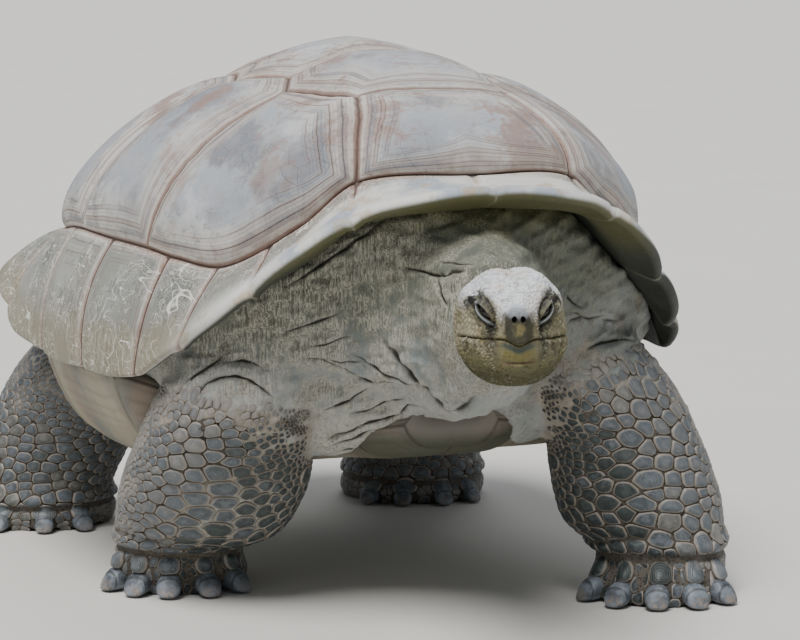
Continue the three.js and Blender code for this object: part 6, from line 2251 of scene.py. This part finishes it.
@dataclass(frozen=True)
class ClawFinish:
    """Dark slate horn, paler and streaked toward the tip, with painted shade in the groove where it leaves
    the toe.
    """

    slate: str = "7a828b"
    dusk: str = "50555b"
    tip: str = "97877a"
    rough: float = 0.5
    relief: float = 0.8

    def material(self) -> Material:
        """Returns the material of the claws."""
        net = Net("claw_horn")
        along, patchy = net.value("along"), net.noise(60, 4, 0.6)
        streaks = net.noise(1, 4, 0.6, net.stretched((220, 60, 220)))
        colour = net.layers(
            self.slate,
            (self.dusk, (patchy + streaks * 0.3).step(0.5, 0.8)),
            (self.tip, along.step(0.7, 0.9) * streaks.step(0.4, 0.6) * 0.7),
            # Painted shade in the groove where the nail leaves the toe.
            ("2e2924", (along - 0.57).size().step(0.06, 0.02) * 0.6))
        rough = self.rough + (patchy - 0.5) * 0.3
        return net.finish(colour, rough, streaks * 0.8 + patchy, self.relief, Specular_IOR_Level=0.4)


@dataclass(frozen=True)
class EyeFinish:
    """A wet dark eye: black pupil, brown iris, darker rim."""

    iris: tuple[str, str] = ("1b130e", "33241a")
    pupil: str = "020202"
    rim: str = "100e0c"
    rough: float = 0.1

    def material(self) -> Material:
        """Returns the material of the eyeballs."""
        net = Net("wet_eye")
        polar = net.value("polar")
        colour = net.layers(
            self.iris[0],
            (self.iris[1], net.noise(900, 3).step(0.35, 0.65)),
            (self.pupil, polar.step(27, 23)),
            (self.rim, polar.step(40, 46)))
        return net.finish(
            colour, self.rough, None, 0, Coat_Weight=0.4, Coat_Roughness=0.03, Specular_IOR_Level=0.35)


# ------------------------------------------------------------------ stage
@dataclass
class Stage:
    """The pale floor, the soft lights and the camera."""

    frame: BodyFrame
    camera_at: Triple = (-1453.9, -4028.1, 903.5)
    turned: float = 21.025  # degrees the camera looks to the right of straight ahead
    tipped: float = 7.424  # degrees it looks down
    lens: float = 135.0
    floor_size: float = 150.0  # metres from its middle to its edge
    sky: float = 0.37  # strength of the light from all round

    def floor(self) -> None:
        """Lays the wide flat floor."""
        bm = bmesh.new()
        bmesh.ops.create_grid(bm, x_segments=1, y_segments=1, size=self.floor_size)
        mesh = new_mesh("floor", bm)
        net = Net("pale_floor")
        mesh.materials.append(net.finish(net.blend("dcdad4", "d3d1cb", net.noise(2, 3)), 0.85, None, 0))
        new_object("floor", mesh)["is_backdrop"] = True

    def light(self, name: str, place: Triple, spread: float, strength: float, colour: Triple) -> None:
        """Hangs one soft far light.

        Args:
            name: the light's name.
            place: the way it comes from, seen from the animal.
            spread: how wide it is, in degrees.
            strength: its strength.
            colour: its colour.
        """
        data = bpy.data.lights.new(name, "SUN")
        data.angle, data.energy, data.color = math.radians(spread), strength, colour
        lamp = bpy.data.objects.new(name, data)
        lamp.location = place
        lamp.rotation_euler = (-Vector(place)).to_track_quat("-Z", "Y").to_euler()
        bpy.context.scene.collection.objects.link(lamp)

    def camera(self) -> None:
        """Sets up the camera."""
        data = bpy.data.cameras.new("camera")
        data.lens = self.lens
        data.sensor_width = 36.0
        data.clip_end = 200.0
        eye = bpy.data.objects.new("camera", data)
        turned, tipped = math.radians(self.turned), math.radians(self.tipped)
        level = math.cos(tipped)
        ahead = Vector((math.sin(turned) * level, math.cos(turned) * level, -math.sin(tipped)))
        eye.rotation_euler = ahead.to_track_quat("-Z", "Y").to_euler()
        eye.location = Vector(self.frame.metres(np.array(self.camera_at)))
        bpy.context.scene.collection.objects.link(eye)
        bpy.context.scene.camera = eye

    def world(self) -> None:
        """Fills the surroundings with an even pale light."""
        world = bpy.data.worlds.new("studio")
        world.use_nodes = True
        background = world.node_tree.nodes["Background"]
        background.inputs["Color"].default_value = tint("dfe6ee")
        background.inputs["Strength"].default_value = self.sky
        bpy.context.scene.world = world

    def build(self) -> None:
        """Sets up floor, lights and camera."""
        self.floor()
        self.camera()
        self.world()
        self.light("key", (-2.0, -2.0, 5.4), 32, 3.9, (1.0, 0.99, 0.975))
        self.light("back", (1.5, 3.4, 3.6), 40, 0.6, (1.0, 1.0, 1.0))


def flat(bounds: Sequence[Sequence[float]]) -> list[list[float]]:
    """Returns a box's corners as plain lists."""
    return [[float(c) for c in corner] for corner in bounds]


def main() -> None:
    """Builds and dresses the whole animal."""
    logging.basicConfig(level=logging.INFO, format="%(name)s: %(message)s")
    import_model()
    packed = flat(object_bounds())
    head = Head()
    low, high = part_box("eye_left")
    origin = head.place(np.array(head.eye)) - np.array((low + high) / 2) / MM
    frame = BodyFrame(origin)
    pieces = [Carapace(frame).build(), Plastron(frame).build()]
    pieces.append(Skin(frame, head, folds=CHEST_FOLDS).build())
    pieces.append(FaceScales(head, frame).build())
    for leg in LEGS:
        pieces.append(LegScales(leg, frame).build())
    horn = ClawFinish().material()
    for leg in LEGS:
        pieces += [Claw(leg, i, frame).build(horn) for i in range(len(leg.claws))]
    pieces += [Eyes(head, frame).build(side) for side in (-1, 1)]
    total = 0
    for piece in pieces:
        triangles = triangle_count(piece.data)
        total += triangles
        LOG.info("%s: %d triangles", piece.name, triangles)
    LOG.info("whole model: %d triangles", total)
    Stage(frame).build()
    {"cad": packed, "visual": flat(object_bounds())}


if __name__ == "__main__":
    main()
